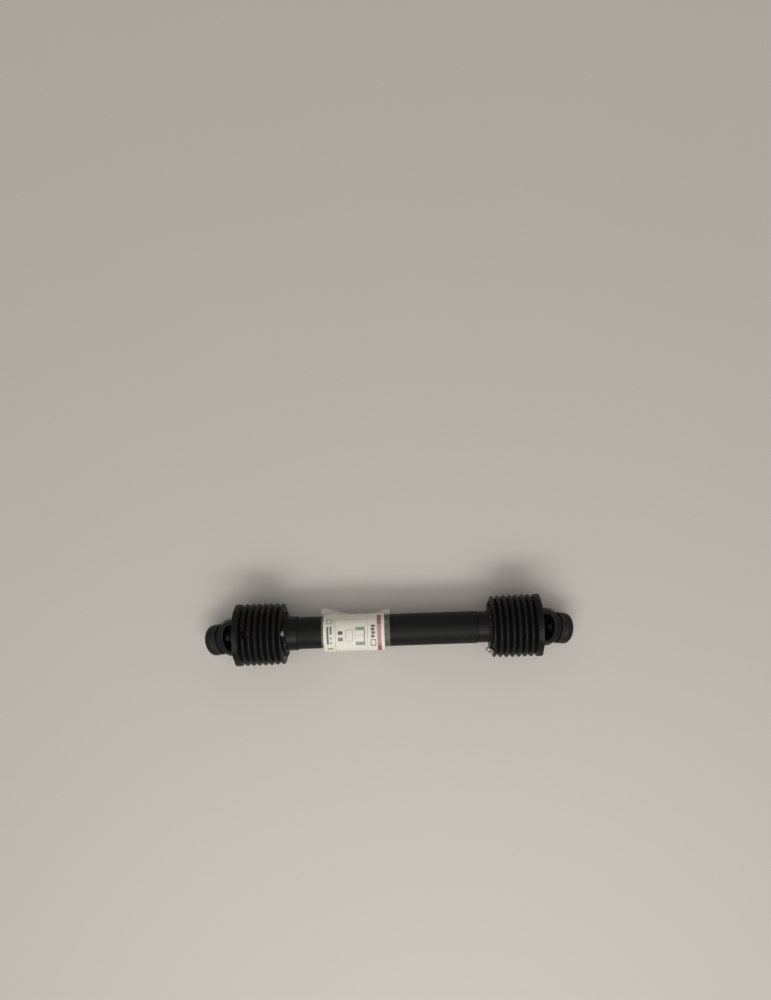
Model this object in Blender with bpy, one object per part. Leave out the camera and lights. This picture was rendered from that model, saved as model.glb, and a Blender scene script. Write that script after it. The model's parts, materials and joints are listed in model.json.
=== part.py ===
"""A PTO drive shaft: two universal joints on a telescoping tube, inside a plastic guard.

The shaft lies along X on its two guard cones, +Z up, in metres. Each end is built in the frame of
its own universal joint: +x points outward from the cross centre, away from the shaft's middle.
"""
import math

import bmesh
import bpy
from mathutils import Matrix, Vector

MM = 0.001

# Fits, and the facets of turned steel pieces
CLEARANCE = 0.3 * MM
SLIDE_GAP = 0.5 * MM
ROUND_SEGMENTS = 20
BEARING_SEGMENTS = 10
TRIM = 0.6 * MM

# Layout along the shaft
JOINT_X = 362.0 * MM
REST_BEND = math.radians(8.0)
FLOOR_GAP = 0.5 * MM
TELESCOPE_GAP = 1.0 * MM

# Guard cone, with its ribs and mouth pads
CONE_SEGMENTS = 27
RIB_RADIUS = 79.0 * MM
RIB_COUNT = 8
RIB_PITCH = 15.47 * MM
RIB_DEPTH = 8.0 * MM
RIB_CREST_WIDTH = 6.0 * MM
LAST_RIB_DROP = 1.5 * MM
CONE_WALL = 2.6 * MM
MOUTH_REACH = 24.4 * MM
MOUTH_BAND_WIDTH = 5.4 * MM
PAD_HEIGHT = 1.6 * MM
PAD_COUNT = 9
LEDGE_RISE = 9.0 * MM
LEDGE_LENGTH = 7.0 * MM
GREASE_HOLE_RADIUS = 11.3 * MM
GREASE_HOLE_INBOARD = 9.0 * MM
GREASE_HOLE_ANGLE = {"left": math.radians(2.4), "right": math.radians(150.0)}

# Guard tubes and the bases that carry them
GUARD_WALL = 2.5 * MM
OUTER_GUARD_RADIUS = 40.5 * MM
SLEEVE_WALL = {"left": 2.2 * MM, "right": 1.8 * MM}
SLEEVE_LENGTH = {"left": 34.3 * MM, "right": 36.0 * MM}
INNER_GUARD_GAP = 37.0 * MM
FLANGE_RADIUS = 68.0 * MM
FLANGE_THICKNESS = 3.0 * MM
BASE_WALL = 3.5 * MM

# Guard screws, set at a slant in the corner behind the last rib
SCREW_HEAD_RADIUS = 6.5 * MM
SCREW_HEAD_HEIGHT = 3.0 * MM
SCREW_RADIUS = 2.2 * MM
SCREW_LENGTH = 11.0 * MM
SCREW_SEAT_RADIUS = 67.8 * MM
SCREW_SEAT_OFFSET = 3.4 * MM
SCREW_BOSS_RADIUS = 7.0 * MM
SCREW_BOSS_DEPTH = 5.0 * MM
SCREW_SLANT = math.radians(65.0)
SCREW_TURN = {"left": math.radians(2.5), "right": math.radians(120.0)}
SCREW_COUNT = 2

# Guard bearing, in a groove of the inner yoke's neck
BEARING_WIDTH = 8.0 * MM
BEARING_DEPTH = 3.0 * MM
BEARING_THICKNESS = 4.0 * MM
BEARING_FLANGE = 1.0 * MM
BEARING_SPLIT = math.radians(12.0)

# Chain and its hook
CHAIN_WIRE_RADIUS = 1.3 * MM
CHAIN_LINK_WIDTH = 9.2 * MM
CHAIN_LINKS = 12
CHAIN_BITE = 0.3 * MM
HOOK_RADIUS = 6.0 * MM
HOOK_WIRE_RADIUS = 1.5 * MM
HOOK_OPENING = math.radians(40.0)
HOOK_LINK = {"left": 7, "right": 3}

# Cross and its bearing cups
TRUNNION_RADIUS = 11.0 * MM
CUP_RADIUS = 15.1 * MM
CUP_REACH = 39.7 * MM
CUP_BOTTOM = 1.4 * MM
CUP_LENGTH = 19.2 * MM
NEEDLE_PLAY = 0.1 * MM
CROSS_BODY_REACH = 19.0 * MM
CROSS_BODY_WIDTH = 22.0 * MM
CIRCLIP_THICKNESS = 1.4 * MM
CIRCLIP_RADIUS = 16.6 * MM
CIRCLIP_WIDTH = 3.2 * MM
CIRCLIP_OPENING = math.radians(70.0)
NIPPLE_START = 12.5 * MM
NIPPLE_SEAT = 21.0 * MM
NIPPLE_REACH = 33.0 * MM
NIPPLE_TAIL_RADIUS = 3.0 * MM
NIPPLE_HEXAGON_RADIUS = 3.8 * MM

# Forks of both yokes
EAR_OUTER = 47.5 * MM
EAR_INNER = 32.5 * MM
EAR_BOSS_RADIUS = 22.5 * MM
EAR_CORNER_RADIUS = 49.3 * MM
CHEEK_LENGTH = 38.0 * MM
CROTCH_START = 34.0 * MM

# Outer yoke: splined hub for a 1 3/8 inch, six-spline shaft
CROTCH_END = 52.0 * MM
SHOULDER_START = 64.0 * MM
SHOULDER_END = 75.0 * MM
SHOULDER_RADIUS = 35.5 * MM
HUB_RADIUS = 28.0 * MM
HUB_END = 109.0 * MM
HUB_CHAMFER = 1.5 * MM
SPLINE_COUNT = 6
SPLINE_MINOR_RADIUS = 14.95 * MM
SPLINE_MAJOR_RADIUS = 17.5 * MM
SPLINE_SLOT_WIDTH = 8.74 * MM

# Pull collar, its spring, ring and lock balls
COLLAR_RADIUS = 39.5 * MM
COLLAR_START = 74.0 * MM
COLLAR_END = 108.0 * MM
COLLAR_EDGE_RADIUS = 7.0 * MM
COLLAR_EDGE_CHAMFER = 1.4 * MM
COLLAR_TRAVEL = 6.0 * MM
COLLAR_STEP = 86.0 * MM
COLLAR_LIP = 2.7 * MM
SPRING_WIRE_RADIUS = 0.8 * MM
SPRING_TURNS = 2.0
RING_THICKNESS = 1.5 * MM
RING_RADIUS = 31.2 * MM
RING_SEAT_DEPTH = 1.6 * MM
RING_OPENING = math.radians(20.0)
BALL_COUNT = 3
BALL_RADIUS = 6.5 * MM
BALL_LIFT = 3.0 * MM
BALL_X = 90.0 * MM
BALL_HOLE_SEGMENTS = 8

# Inner yoke: neck with a socket for the drive tube
INNER_CROTCH_END = 50.0 * MM
NECK_START = 60.0 * MM
NECK_RADIUS = 32.0 * MM
NECK_END = 96.0 * MM
SOCKET_START = 60.0 * MM
PIN_INBOARD = 72.0 * MM
PIN_RADIUS = 4.0 * MM
PIN_BORE_RADIUS = 2.4 * MM
PIN_SLOT = math.radians(40.0)

# Drive tubes, of rounded-triangle section
TUBE_RADIUS = 22.5 * MM
TUBE_LOBE = 2.5 * MM
TUBE_WALL = 3.6 * MM
OUTER_TUBE_END_GAP = 31.0 * MM
INNER_TUBE_END_GAP = 16.0 * MM

# Paper label and its clear film, round the outer guard tube
LABEL_MIDDLE_X = -86.0 * MM
LABEL_WIDTH = 163.0 * MM
LABEL_BULGE = 4.2 * MM
LABEL_THICKNESS = 0.8 * MM
FILM_WIDTH = 178.0 * MM
FILM_THICKNESS = 0.6 * MM
FILM_FLAP = 19.0 * MM
FILM_FLAP_SAG = 13.0 * MM

# Places that follow from the sizes above
AXIS_HEIGHT = RIB_RADIUS * math.cos(math.pi / CONE_SEGMENTS)
LEDGE_RADIUS = OUTER_GUARD_RADIUS + LEDGE_RISE
FIRST_RIB = -MOUTH_REACH + MOUTH_BAND_WIDTH + RIB_CREST_WIDTH
LAST_RIB = FIRST_RIB + RIB_PITCH * (RIB_COUNT - 1)
CONE_BACK = LAST_RIB + RIB_CREST_WIDTH / 2
CONE_END = CONE_BACK + LEDGE_LENGTH
FLANGE_BACK = CONE_BACK - CONE_WALL - CLEARANCE
BEARING_END = FLANGE_BACK - FLANGE_THICKNESS - BEARING_FLANGE
TUBE_SEAT = CONE_BACK + CLEARANCE
CHAIN_REACH = (CHAIN_LINK_WIDTH / 2 - CHAIN_WIRE_RADIUS) * math.sin(math.pi / 4) + CHAIN_WIRE_RADIUS
CHAIN_LINK_LIFT = LEDGE_RADIUS + CLEARANCE + CHAIN_REACH
CHAIN_PLACE = CONE_BACK + CLEARANCE + CHAIN_REACH
SIDES = {"left": -1.0, "right": 1.0}


def around(radius, segments, gap=CLEARANCE):
    """Radius of a faceted hole that clears a turning pin of the given radius."""
    return (radius + gap) / math.cos(math.pi / segments)


def polar(radius, angle):
    return radius * math.cos(angle), radius * math.sin(angle)


def arc(centre, radius, start, end, steps):
    """Points along a circular or, with a pair of radii, an elliptical arc."""
    across, up = radius if isinstance(radius, tuple) else (radius, radius)
    points = []
    for step in range(steps + 1):
        angle = start + (end - start) * step / steps
        points.append((centre[0] + across * math.cos(angle), centre[1] + up * math.sin(angle)))
    return points


# Mesh building

def revolve(profile, segments, phase=None, sweep=None):
    """Turn a closed (x, r) profile about X, from the middle of a facet unless a phase is given.

    With a sweep the ring stays open, with a cap at each end.
    """
    mesh = bmesh.new()
    if phase is None:
        phase = math.pi / segments
    turn = 2 * math.pi if sweep is None else sweep
    steps = segments if sweep is None else segments + 1
    rings = []
    for step in range(steps):
        angle = phase + turn * step / segments
        ring = []
        for x, r in profile:
            on_axis = r <= 0.0
            if on_axis and rings:
                ring.append(rings[0][len(ring)])
            else:
                ring.append(mesh.verts.new((x, r * math.cos(angle), r * math.sin(angle))))
        rings.append(ring)
    for step in range(segments):
        one = rings[step]
        two = rings[(step + 1) % len(rings)]
        for k in range(len(profile)):
            n = (k + 1) % len(profile)
            corners = []
            for vert in (one[k], one[n], two[n], two[k]):
                if vert not in corners:
                    corners.append(vert)
            if len(corners) > 2:
                mesh.faces.new(corners)
    if sweep is not None:
        mesh.faces.new(rings[0])
        mesh.faces.new(list(reversed(rings[-1])))
    bmesh.ops.recalc_face_normals(mesh, faces=mesh.faces)
    return mesh


def prism(outline, axis, low, high):
    """Extrude a flat outline along the named axis, from low to high."""
    places = {
        "x": lambda a, b, h: (h, a, b),
        "y": lambda a, b, h: (a, h, b),
        "z": lambda a, b, h: (a, b, h),
    }
    mesh = bmesh.new()
    base = [mesh.verts.new(places[axis](a, b, low)) for a, b in outline]
    face = mesh.faces.new(base)
    extruded = bmesh.ops.extrude_face_region(mesh, geom=[face])
    moved = [item for item in extruded["geom"] if isinstance(item, bmesh.types.BMVert)]
    bmesh.ops.translate(mesh, verts=moved, vec=Vector(places[axis](0.0, 0.0, high - low)))
    bmesh.ops.recalc_face_normals(mesh, faces=mesh.faces)
    return mesh


def wire(path, radius, sides, closed=False, mesh=None):
    """Sweep a round section along a path of points, into a new or a given mesh."""
    mesh = mesh or bmesh.new()
    count = len(path)
    rings = []
    across = None
    for k, point in enumerate(path):
        before = path[(k - 1) % count] if closed or k > 0 else point
        after = path[(k + 1) % count] if closed or k < count - 1 else point
        along = (after - before).normalized()
        if across is None:
            across = along.orthogonal().normalized()
        across = (across - along * across.dot(along)).normalized()
        up = along.cross(across)
        ring = []
        for side in range(sides):
            a, b = polar(radius, 2 * math.pi * (side + 0.5) / sides)
            ring.append(mesh.verts.new(point + across * a + up * b))
        rings.append(ring)
    faces = []
    for k in range(count if closed else count - 1):
        one = rings[k]
        two = rings[(k + 1) % count]
        shift = 0
        if closed and k == count - 1:
            shift = min(range(sides), key=lambda s: (two[s].co - one[0].co).length)
        for side in range(sides):
            n = (side + 1) % sides
            corners = (one[side], one[n], two[(n + shift) % sides], two[(side + shift) % sides])
            faces.append(mesh.faces.new(corners))
    if not closed:
        faces.append(mesh.faces.new(list(reversed(rings[0]))))
        faces.append(mesh.faces.new(rings[-1]))
    bmesh.ops.recalc_face_normals(mesh, faces=mesh.faces)
    return mesh


def turned(mesh, *matrices):
    """Transform a mesh in place by the matrices, first one first."""
    for matrix in matrices:
        bmesh.ops.transform(mesh, matrix=matrix, verts=mesh.verts)
    return mesh


def joined(meshes):
    """Put several meshes into the first one."""
    first = meshes[0]
    for extra in meshes[1:]:
        data = bpy.data.meshes.new("joined")
        extra.to_mesh(data)
        extra.free()
        first.from_mesh(data)
        bpy.data.meshes.remove(data)
    return first


def quarter_turn(axis, quarters=1):
    return Matrix.Rotation(quarters * math.pi / 2, 4, axis)


# Objects

def material(name, colour, roughness, metallic=0.0):
    made = bpy.data.materials.new(name)
    made.use_nodes = True
    shader = made.node_tree.nodes["Principled BSDF"]
    shader.inputs["Base Color"].default_value = (*colour, 1.0)
    shader.inputs["Roughness"].default_value = roughness
    shader.inputs["Metallic"].default_value = metallic
    return made


def link_object(name, mesh, parent):
    data = bpy.data.meshes.new(name)
    mesh.to_mesh(data)
    mesh.free()
    data.shade_smooth()
    data.set_sharp_from_angle(angle=math.radians(35))
    made = bpy.data.objects.new(name, data)
    bpy.context.collection.objects.link(made)
    made.parent = parent
    return made


def piece(name, mesh, finish, parent, location=(0.0, 0.0, 0.0), rotation=(0.0, 0.0, 0.0)):
    made = link_object(name, mesh, parent)
    made.location = location
    made.rotation_euler = rotation
    made.data.materials.append(material(name + "_finish", *finish))
    return made


def guide(target, purpose, mesh):
    """A hidden shape in the target's own frame, for a Boolean."""
    made = link_object(target.name + "_" + purpose, mesh, target)
    made.hide_render = True
    made.display_type = "WIRE"
    return made


def combine(target, purpose, mesh, operation="DIFFERENCE"):
    """Cut, join or trim the target by a mesh in its own frame."""
    modifier = target.modifiers.new(purpose, "BOOLEAN")
    modifier.operation = operation
    modifier.solver = "EXACT"
    modifier.object = guide(target, purpose, mesh)


def frame(name, parent=None, location=(0.0, 0.0, 0.0), turn=0.0, droop=0.0):
    made = bpy.data.objects.new(name, None)
    bpy.context.collection.objects.link(made)
    made.parent = parent
    made.location = location
    made.rotation_euler = (0.0, droop, turn)
    return made


# Finishes: colour, roughness, metallic
BLACK_PLASTIC = ((0.020, 0.021, 0.022), 0.45)
BLACK_TUBE = ((0.030, 0.032, 0.033), 0.42)
BLACK_PAINT = ((0.032, 0.033, 0.032), 0.38, 0.2)
COLLAR_PAINT = ((0.040, 0.038, 0.034), 0.40, 0.2)
BARE_STEEL = ((0.45, 0.45, 0.44), 0.35, 1.0)
BEARING_STEEL = ((0.58, 0.58, 0.57), 0.25, 1.0)
GREASED_STEEL = ((0.30, 0.29, 0.27), 0.32, 1.0)
DARK_CHAIN = ((0.06, 0.06, 0.06), 0.40, 0.8)
NYLON = ((0.62, 0.60, 0.52), 0.5)
GREY_SCREW = ((0.55, 0.57, 0.55), 0.4, 0.6)
WARM_PAPER = ((0.80, 0.77, 0.68), 0.8)
CLEAR_FILM = ((0.85, 0.87, 0.86), 0.15)


# Forks

def fork_side(shoulder_start, shoulder_radius, shoulder_end, crotch_end):
    """Outline of a fork seen across its ears: cheeks, round shoulders and the U between them."""
    drop = EAR_OUTER - shoulder_radius
    reach = shoulder_start - CHEEK_LENGTH
    upper = [(-EAR_BOSS_RADIUS, EAR_INNER), (-EAR_BOSS_RADIUS, EAR_OUTER)]
    upper += arc((CHEEK_LENGTH, shoulder_radius + TRIM), (reach, drop - TRIM), math.pi / 2, 0.0, 3)
    upper += [(shoulder_end, shoulder_radius + TRIM)]
    lower = [(x, -y) for x, y in reversed(upper)]
    crotch = (crotch_end - CROTCH_START, EAR_INNER)
    inner = arc((CROTCH_START, 0.0), crotch, -math.pi / 2, math.pi / 2, 6)
    return upper + lower + inner


def fork_face(shoulder_start, shoulder_radius, shoulder_end):
    """Outline of a fork seen along its bearing axis: round boss that widens into the neck."""
    boss = arc((0.0, 0.0), EAR_BOSS_RADIUS, math.radians(100), math.radians(260), 7)
    neck = shoulder_radius + TRIM
    lower = [(CROTCH_START, -neck * 0.86), (shoulder_start, -neck), (shoulder_end + TRIM, -neck)]
    upper = [(x, -z) for x, z in reversed(lower)]
    return boss + lower + upper


def fork_round(shoulder_start, shoulder_radius, shoulder_end):
    """Turned envelope that rounds the corners of the ears."""
    drop = EAR_CORNER_RADIUS - shoulder_radius
    reach = shoulder_start - CHEEK_LENGTH
    back = -EAR_BOSS_RADIUS - 1.0 * MM
    profile = [(back, 0.0), (back, EAR_CORNER_RADIUS)]
    profile += arc((CHEEK_LENGTH, shoulder_radius), (reach, drop), math.pi / 2, 0.0, 2)
    profile += [(shoulder_end + TRIM, shoulder_radius), (shoulder_end + TRIM, 0.0)]
    return revolve(profile, ROUND_SEGMENTS)


def cup_bores():
    """Both bearing bores on the Y axis, with the grooves of their circlips."""
    bore = CUP_RADIUS + CLEARANCE
    groove = around(CIRCLIP_RADIUS, BEARING_SEGMENTS)
    start = CUP_REACH
    end = start + CIRCLIP_THICKNESS + 2 * CLEARANCE
    far = EAR_OUTER + 5.0 * MM
    half = [(end, groove), (end, bore), (far, bore), (far, 0.0)]
    half = [(start, bore), (start, groove)] + half
    mirrored = [(-x, r) for x, r in reversed(half)]
    return turned(revolve(mirrored + half, BEARING_SEGMENTS), quarter_turn("Z"))


def make_fork(name, parent, rotation, shoulder, crotch_end, finish):
    """A forged fork: the crossing of its two outlines, rounded, with its bearing bores."""
    width = EAR_OUTER + 1.0 * MM
    outline = fork_side(*shoulder, crotch_end)
    body = piece(name, prism(outline, "z", -width, width), finish, parent, rotation=rotation)
    combine(body, "face", prism(fork_face(*shoulder), "y", -width, width), "INTERSECT")
    combine(body, "corners", fork_round(*shoulder), "INTERSECT")
    combine(body, "cup_bores", cup_bores())
    return body


def spline_outline():
    """Section of the splined bore: a slot for each tooth of the tractor's shaft."""
    outline = []
    half_slot = SPLINE_SLOT_WIDTH / 2
    root = math.asin(half_slot / SPLINE_MINOR_RADIUS)
    tip = math.asin(half_slot / SPLINE_MAJOR_RADIUS)
    pitch = 2 * math.pi / SPLINE_COUNT
    for tooth in range(SPLINE_COUNT):
        middle = pitch * (tooth + 0.5)
        outline.append(polar(SPLINE_MINOR_RADIUS, middle - root))
        outline.append(polar(SPLINE_MAJOR_RADIUS, middle - tip))
        outline.append(polar(SPLINE_MAJOR_RADIUS, middle + tip))
        outline.append(polar(SPLINE_MINOR_RADIUS, middle + root))
        outline.append(polar(SPLINE_MINOR_RADIUS, middle + pitch / 2))
    return outline


def ball_angle(number):
    return math.pi / 2 + 2 * math.pi * number / BALL_COUNT


def ball_centre_radius():
    """Centre of a locked ball, held down by the flats of the collar's land."""
    land = (HUB_RADIUS + CLEARANCE) * math.cos(math.pi / ROUND_SEGMENTS)
    return land - CLEARANCE - BALL_RADIUS


def ball_holes():
    """Radial holes through the hub, narrower at the bore so that no ball falls through."""
    wide = around(BALL_RADIUS, BALL_HOLE_SEGMENTS)
    centre = ball_centre_radius()
    narrow_depth = centre - 0.42 * BALL_RADIUS
    narrow = 0.94 * BALL_RADIUS
    profile = [
        (SPLINE_MINOR_RADIUS * 0.6, 0.0),
        (SPLINE_MINOR_RADIUS * 0.6, narrow),
        (narrow_depth - 1.0 * MM, narrow),
        (narrow_depth, wide),
        (HUB_RADIUS + 4.0 * MM, wide),
        (HUB_RADIUS + 4.0 * MM, 0.0),
    ]
    holes = []
    for number in range(BALL_COUNT):
        turn = Matrix.Rotation(ball_angle(number), 4, "X")
        place = Matrix.Translation((BALL_X, 0.0, 0.0))
        hole = revolve(profile, BALL_HOLE_SEGMENTS)
        holes.append(turned(hole, quarter_turn("Z"), turn, place))
    return joined(holes)


def ring_groove():
    """Groove in the hub for the ring that stops the collar."""
    start = COLLAR_END - RING_SEAT_DEPTH - 1.0 * MM
    end = start + RING_THICKNESS + 2 * CLEARANCE
    bottom = HUB_RADIUS - RING_SEAT_DEPTH
    top = HUB_RADIUS + 5.0 * MM
    return revolve([(start, bottom), (end, bottom), (end, top), (start, top)], ROUND_SEGMENTS)


def make_outer_yoke(side, parent):
    shoulder = (SHOULDER_START, SHOULDER_RADIUS, SHOULDER_END)
    name = side + "_outer_yoke"
    body = make_fork(name, parent, (0.0, 0.0, 0.0), shoulder, CROTCH_END, BLACK_PAINT)
    hub = [
        (SHOULDER_START + TRIM, 0.0),
        (SHOULDER_START + TRIM, HUB_RADIUS),
        (HUB_END - HUB_CHAMFER, HUB_RADIUS),
        (HUB_END, HUB_RADIUS - HUB_CHAMFER),
        (HUB_END, 0.0),
    ]
    combine(body, "hub", revolve(hub, ROUND_SEGMENTS), "UNION")
    combine(body, "spline_bore", prism(spline_outline(), "x", CROTCH_START, HUB_END + 5.0 * MM))
    combine(body, "ball_holes", ball_holes())
    combine(body, "ring_groove", ring_groove())


def tube_outline(radius, points=18):
    """Rounded-triangle section, one lobe up."""
    outline = []
    for step in range(points):
        angle = 2 * math.pi * step / points
        reach = radius - TUBE_LOBE * math.sin(3 * angle)
        outline.append(polar(reach, angle))
    return outline


def tube_radius(side):
    """Mean outer radius of the drive tube on this side: the right one slides in the left one."""
    if side == "left":
        return TUBE_RADIUS
    return TUBE_RADIUS - TUBE_WALL - SLIDE_GAP


def bearing_groove():
    start = BEARING_END - BEARING_WIDTH
    low = NECK_RADIUS - BEARING_DEPTH
    high = NECK_RADIUS + 5.0 * MM
    groove = [(start, low), (BEARING_END, low), (BEARING_END, high), (start, high)]
    return revolve(groove, ROUND_SEGMENTS)


def pin_hole(radius):
    """Cross hole for the yoke pin, along Y at the pin's place inboard of the cross."""
    reach = NECK_RADIUS + 5.0 * MM
    hole = revolve([(-reach, 0.0), (-reach, radius), (reach, radius), (reach, 0.0)], 10)
    return turned(hole, quarter_turn("Z"))


def make_inner_yoke(side, parent):
    """Fork turned to face outward, its neck toward the shaft's middle, ears along Z."""
    shoulder = (NECK_START, NECK_RADIUS, NECK_END)
    name = side + "_inner_yoke"
    turn = (math.pi / 2, 0.0, math.pi)
    body = make_fork(name, parent, turn, shoulder, INNER_CROTCH_END, BLACK_PAINT)
    socket_lobe = tube_outline(tube_radius(side) + CLEARANCE)
    socket = prism([(z, y) for y, z in socket_lobe], "x", SOCKET_START, NECK_END + 5.0 * MM)
    combine(body, "socket", socket)
    combine(body, "bearing_groove", bearing_groove())
    place = Matrix.Translation((PIN_INBOARD, 0.0, 0.0))
    hole = turned(pin_hole(PIN_RADIUS + CLEARANCE), quarter_turn("X"), place)
    combine(body, "pin_hole", hole)


def make_yoke_pin(side, parent):
    """Slotted spring pin through the neck and the tube."""
    reach = NECK_RADIUS - 1.0 * MM
    profile = [(-reach, PIN_BORE_RADIUS), (-reach, PIN_RADIUS)]
    profile += [(reach, PIN_RADIUS), (reach, PIN_BORE_RADIUS)]
    pin = revolve(profile, 10, PIN_SLOT / 2, 2 * math.pi - PIN_SLOT)
    turned(pin, quarter_turn("Z"))
    piece(side + "_yoke_pin", pin, BARE_STEEL, parent, location=(-PIN_INBOARD, 0.0, 0.0))


# Cross and bearings

def make_cross(side, parent):
    """Forged spider: eight-sided body and four trunnions."""
    end = CUP_REACH - CUP_BOTTOM - CLEARANCE
    corner = CROSS_BODY_REACH / math.cos(math.pi / 8)
    outline = [polar(corner, math.pi / 8 + math.pi / 4 * k) for k in range(8)]
    half_width = CROSS_BODY_WIDTH / 2
    body = prism(outline, "x", -half_width, half_width)
    cross = piece(side + "_cross", body, GREASED_STEEL, parent)
    arm = [(-end, 0.0), (-end, TRUNNION_RADIUS), (end, TRUNNION_RADIUS), (end, 0.0)]
    for axis, turn in (("y", quarter_turn("Z")), ("z", quarter_turn("Y"))):
        trunnions = turned(revolve(arm, BEARING_SEGMENTS), turn)
        combine(cross, "trunnions_" + axis, trunnions, "UNION")
    hole = around(NIPPLE_TAIL_RADIUS, 8)
    start = NIPPLE_START - CLEARANCE
    socket = [(start, 0.0), (start, hole), (NIPPLE_SEAT, hole), (NIPPLE_SEAT, 0.0)]
    slant = Matrix.Rotation(math.pi / 4, 4, "X")
    combine(cross, "nipple_hole", turned(revolve(socket, 8), quarter_turn("Z"), slant))


def make_nipple(side, parent):
    """Grease nipple between two trunnions: threaded tail, hexagon and ball head."""
    hexagon_end = NIPPLE_SEAT + 3.0 * MM
    profile = [
        (NIPPLE_START, 0.0),
        (NIPPLE_START, NIPPLE_TAIL_RADIUS),
        (NIPPLE_SEAT, NIPPLE_TAIL_RADIUS),
        (NIPPLE_SEAT, NIPPLE_HEXAGON_RADIUS),
        (hexagon_end, NIPPLE_HEXAGON_RADIUS),
        (hexagon_end, 2.4 * MM),
        (NIPPLE_REACH - 5.0 * MM, 2.4 * MM),
        (NIPPLE_REACH - 3.0 * MM, 3.2 * MM),
        (NIPPLE_REACH, 1.6 * MM),
        (NIPPLE_REACH, 0.0),
    ]
    slant = Matrix.Rotation(math.pi / 4, 4, "X")
    nipple = turned(revolve(profile, 6), quarter_turn("Z"), slant)
    piece(side + "_grease_nipple", nipple, BEARING_STEEL, parent)


def cup_mesh():
    """Bearing cup with its needles, open toward the cross."""
    start = CUP_REACH - CUP_LENGTH
    bore = around(TRUNNION_RADIUS, BEARING_SEGMENTS, NEEDLE_PLAY)
    floor = CUP_REACH - CUP_BOTTOM
    profile = [(floor, 0.0), (floor, bore), (start, bore), (start, CUP_RADIUS)]
    profile += [(CUP_REACH, CUP_RADIUS), (CUP_REACH, 0.0)]
    return revolve(profile, BEARING_SEGMENTS)


def circlip_mesh():
    """Open snap ring in its groove outside the cup."""
    start = CUP_REACH + CLEARANCE
    end = start + CIRCLIP_THICKNESS
    inner = CIRCLIP_RADIUS - CIRCLIP_WIDTH
    profile = [(start, inner), (start, CIRCLIP_RADIUS), (end, CIRCLIP_RADIUS), (end, inner)]
    return revolve(profile, 7, CIRCLIP_OPENING / 2, 2 * math.pi - CIRCLIP_OPENING)


def make_cups(side, parent, axis):
    """The two cups and circlips on one axis of the cross, y or z."""
    upright_turn = quarter_turn("X") if axis == "z" else Matrix.Identity(4)
    for number, direction in enumerate((1, -1), start=1):
        turn = upright_turn @ quarter_turn("Z", direction)
        label = "_" + axis + str(number)
        piece(side + "_cup" + label, turned(cup_mesh(), turn), BEARING_STEEL, parent)
        piece(side + "_circlip" + label, turned(circlip_mesh(), turn), BARE_STEEL, parent)


# Pull collar

def collar_profile():
    """Turned section: spring chamber, land over the balls, ramp, recess, lip and ring seat."""
    chamber = SHOULDER_RADIUS + SLIDE_GAP
    land = HUB_RADIUS + CLEARANCE
    recess = land + BALL_LIFT + 2 * CLEARANCE
    slope = BALL_LIFT / COLLAR_TRAVEL
    recess_start = BALL_X + COLLAR_TRAVEL
    ramp_start = recess_start - (recess - land) / slope
    ring_face = COLLAR_END - RING_SEAT_DEPTH - 1.0 * MM
    edge = COLLAR_EDGE_RADIUS
    outside = [(COLLAR_START, chamber), (COLLAR_START, COLLAR_RADIUS - COLLAR_EDGE_CHAMFER)]
    outside += [(COLLAR_START + COLLAR_EDGE_CHAMFER, COLLAR_RADIUS)]
    centre = (COLLAR_END - edge, COLLAR_RADIUS - edge)
    outside += arc(centre, edge, math.pi / 2, 0.0, 3)
    inside = [
        (COLLAR_END, RING_RADIUS + 2 * CLEARANCE),
        (ring_face, RING_RADIUS + 2 * CLEARANCE),
        (ring_face, land),
        (ring_face - COLLAR_LIP, land),
        (ring_face - COLLAR_LIP, recess),
        (recess_start, recess),
        (ramp_start, land),
        (COLLAR_STEP, land),
        (COLLAR_STEP, chamber),
    ]
    return outside + inside


def make_collar(side, parent):
    piece(side + "_collar", revolve(collar_profile(), ROUND_SEGMENTS), COLLAR_PAINT, parent)


def make_collar_spring(side, parent):
    """Coil between the yoke's shoulder and the step in the collar."""
    start = SHOULDER_END + CLEARANCE + SPRING_WIRE_RADIUS
    end = COLLAR_STEP - CLEARANCE - SPRING_WIRE_RADIUS
    radius = (HUB_RADIUS + SHOULDER_RADIUS) / 2
    steps = int(12 * SPRING_TURNS)
    path = []
    for step in range(steps + 1):
        share = step / steps
        y, z = polar(radius, 2 * math.pi * SPRING_TURNS * share)
        path.append(Vector((start + (end - start) * share, y, z)))
    piece(side + "_collar_spring", wire(path, SPRING_WIRE_RADIUS, 4), BARE_STEEL, parent)


def make_collar_ring(side, parent):
    """Open ring in the hub's groove, which stops the collar's outward travel."""
    start = COLLAR_END - RING_SEAT_DEPTH - 1.0 * MM + CLEARANCE
    end = start + RING_THICKNESS
    steps = 14
    inner = around(HUB_RADIUS - RING_SEAT_DEPTH, steps)
    profile = [(start, inner), (start, RING_RADIUS), (end, RING_RADIUS), (end, inner)]
    ring = revolve(profile, steps, RING_OPENING / 2, 2 * math.pi - RING_OPENING)
    piece(side + "_collar_ring", ring, BARE_STEEL, parent)


def make_balls(side, parent):
    for number in range(BALL_COUNT):
        ball = bmesh.new()
        bmesh.ops.create_uvsphere(ball, u_segments=8, v_segments=5, radius=BALL_RADIUS)
        y, z = polar(ball_centre_radius(), ball_angle(number))
        place = (BALL_X, y, z)
        piece(side + "_lock_ball_" + str(number + 1), ball, BEARING_STEEL, parent, place)


# Guard

def sleeve_radius(side):
    """Outer radius of the guard tube that this side's sleeve holds."""
    if side == "left":
        return OUTER_GUARD_RADIUS
    return OUTER_GUARD_RADIUS - GUARD_WALL - 0.8 * MM


def sleeve_outside(side):
    return sleeve_radius(side) + CLEARANCE + SLEEVE_WALL[side]


def rib_crest(number):
    """Radius of a rib: the last two are slightly smaller."""
    return RIB_RADIUS - LAST_RIB_DROP * max(0, number - RIB_COUNT + 3) / 2


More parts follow.
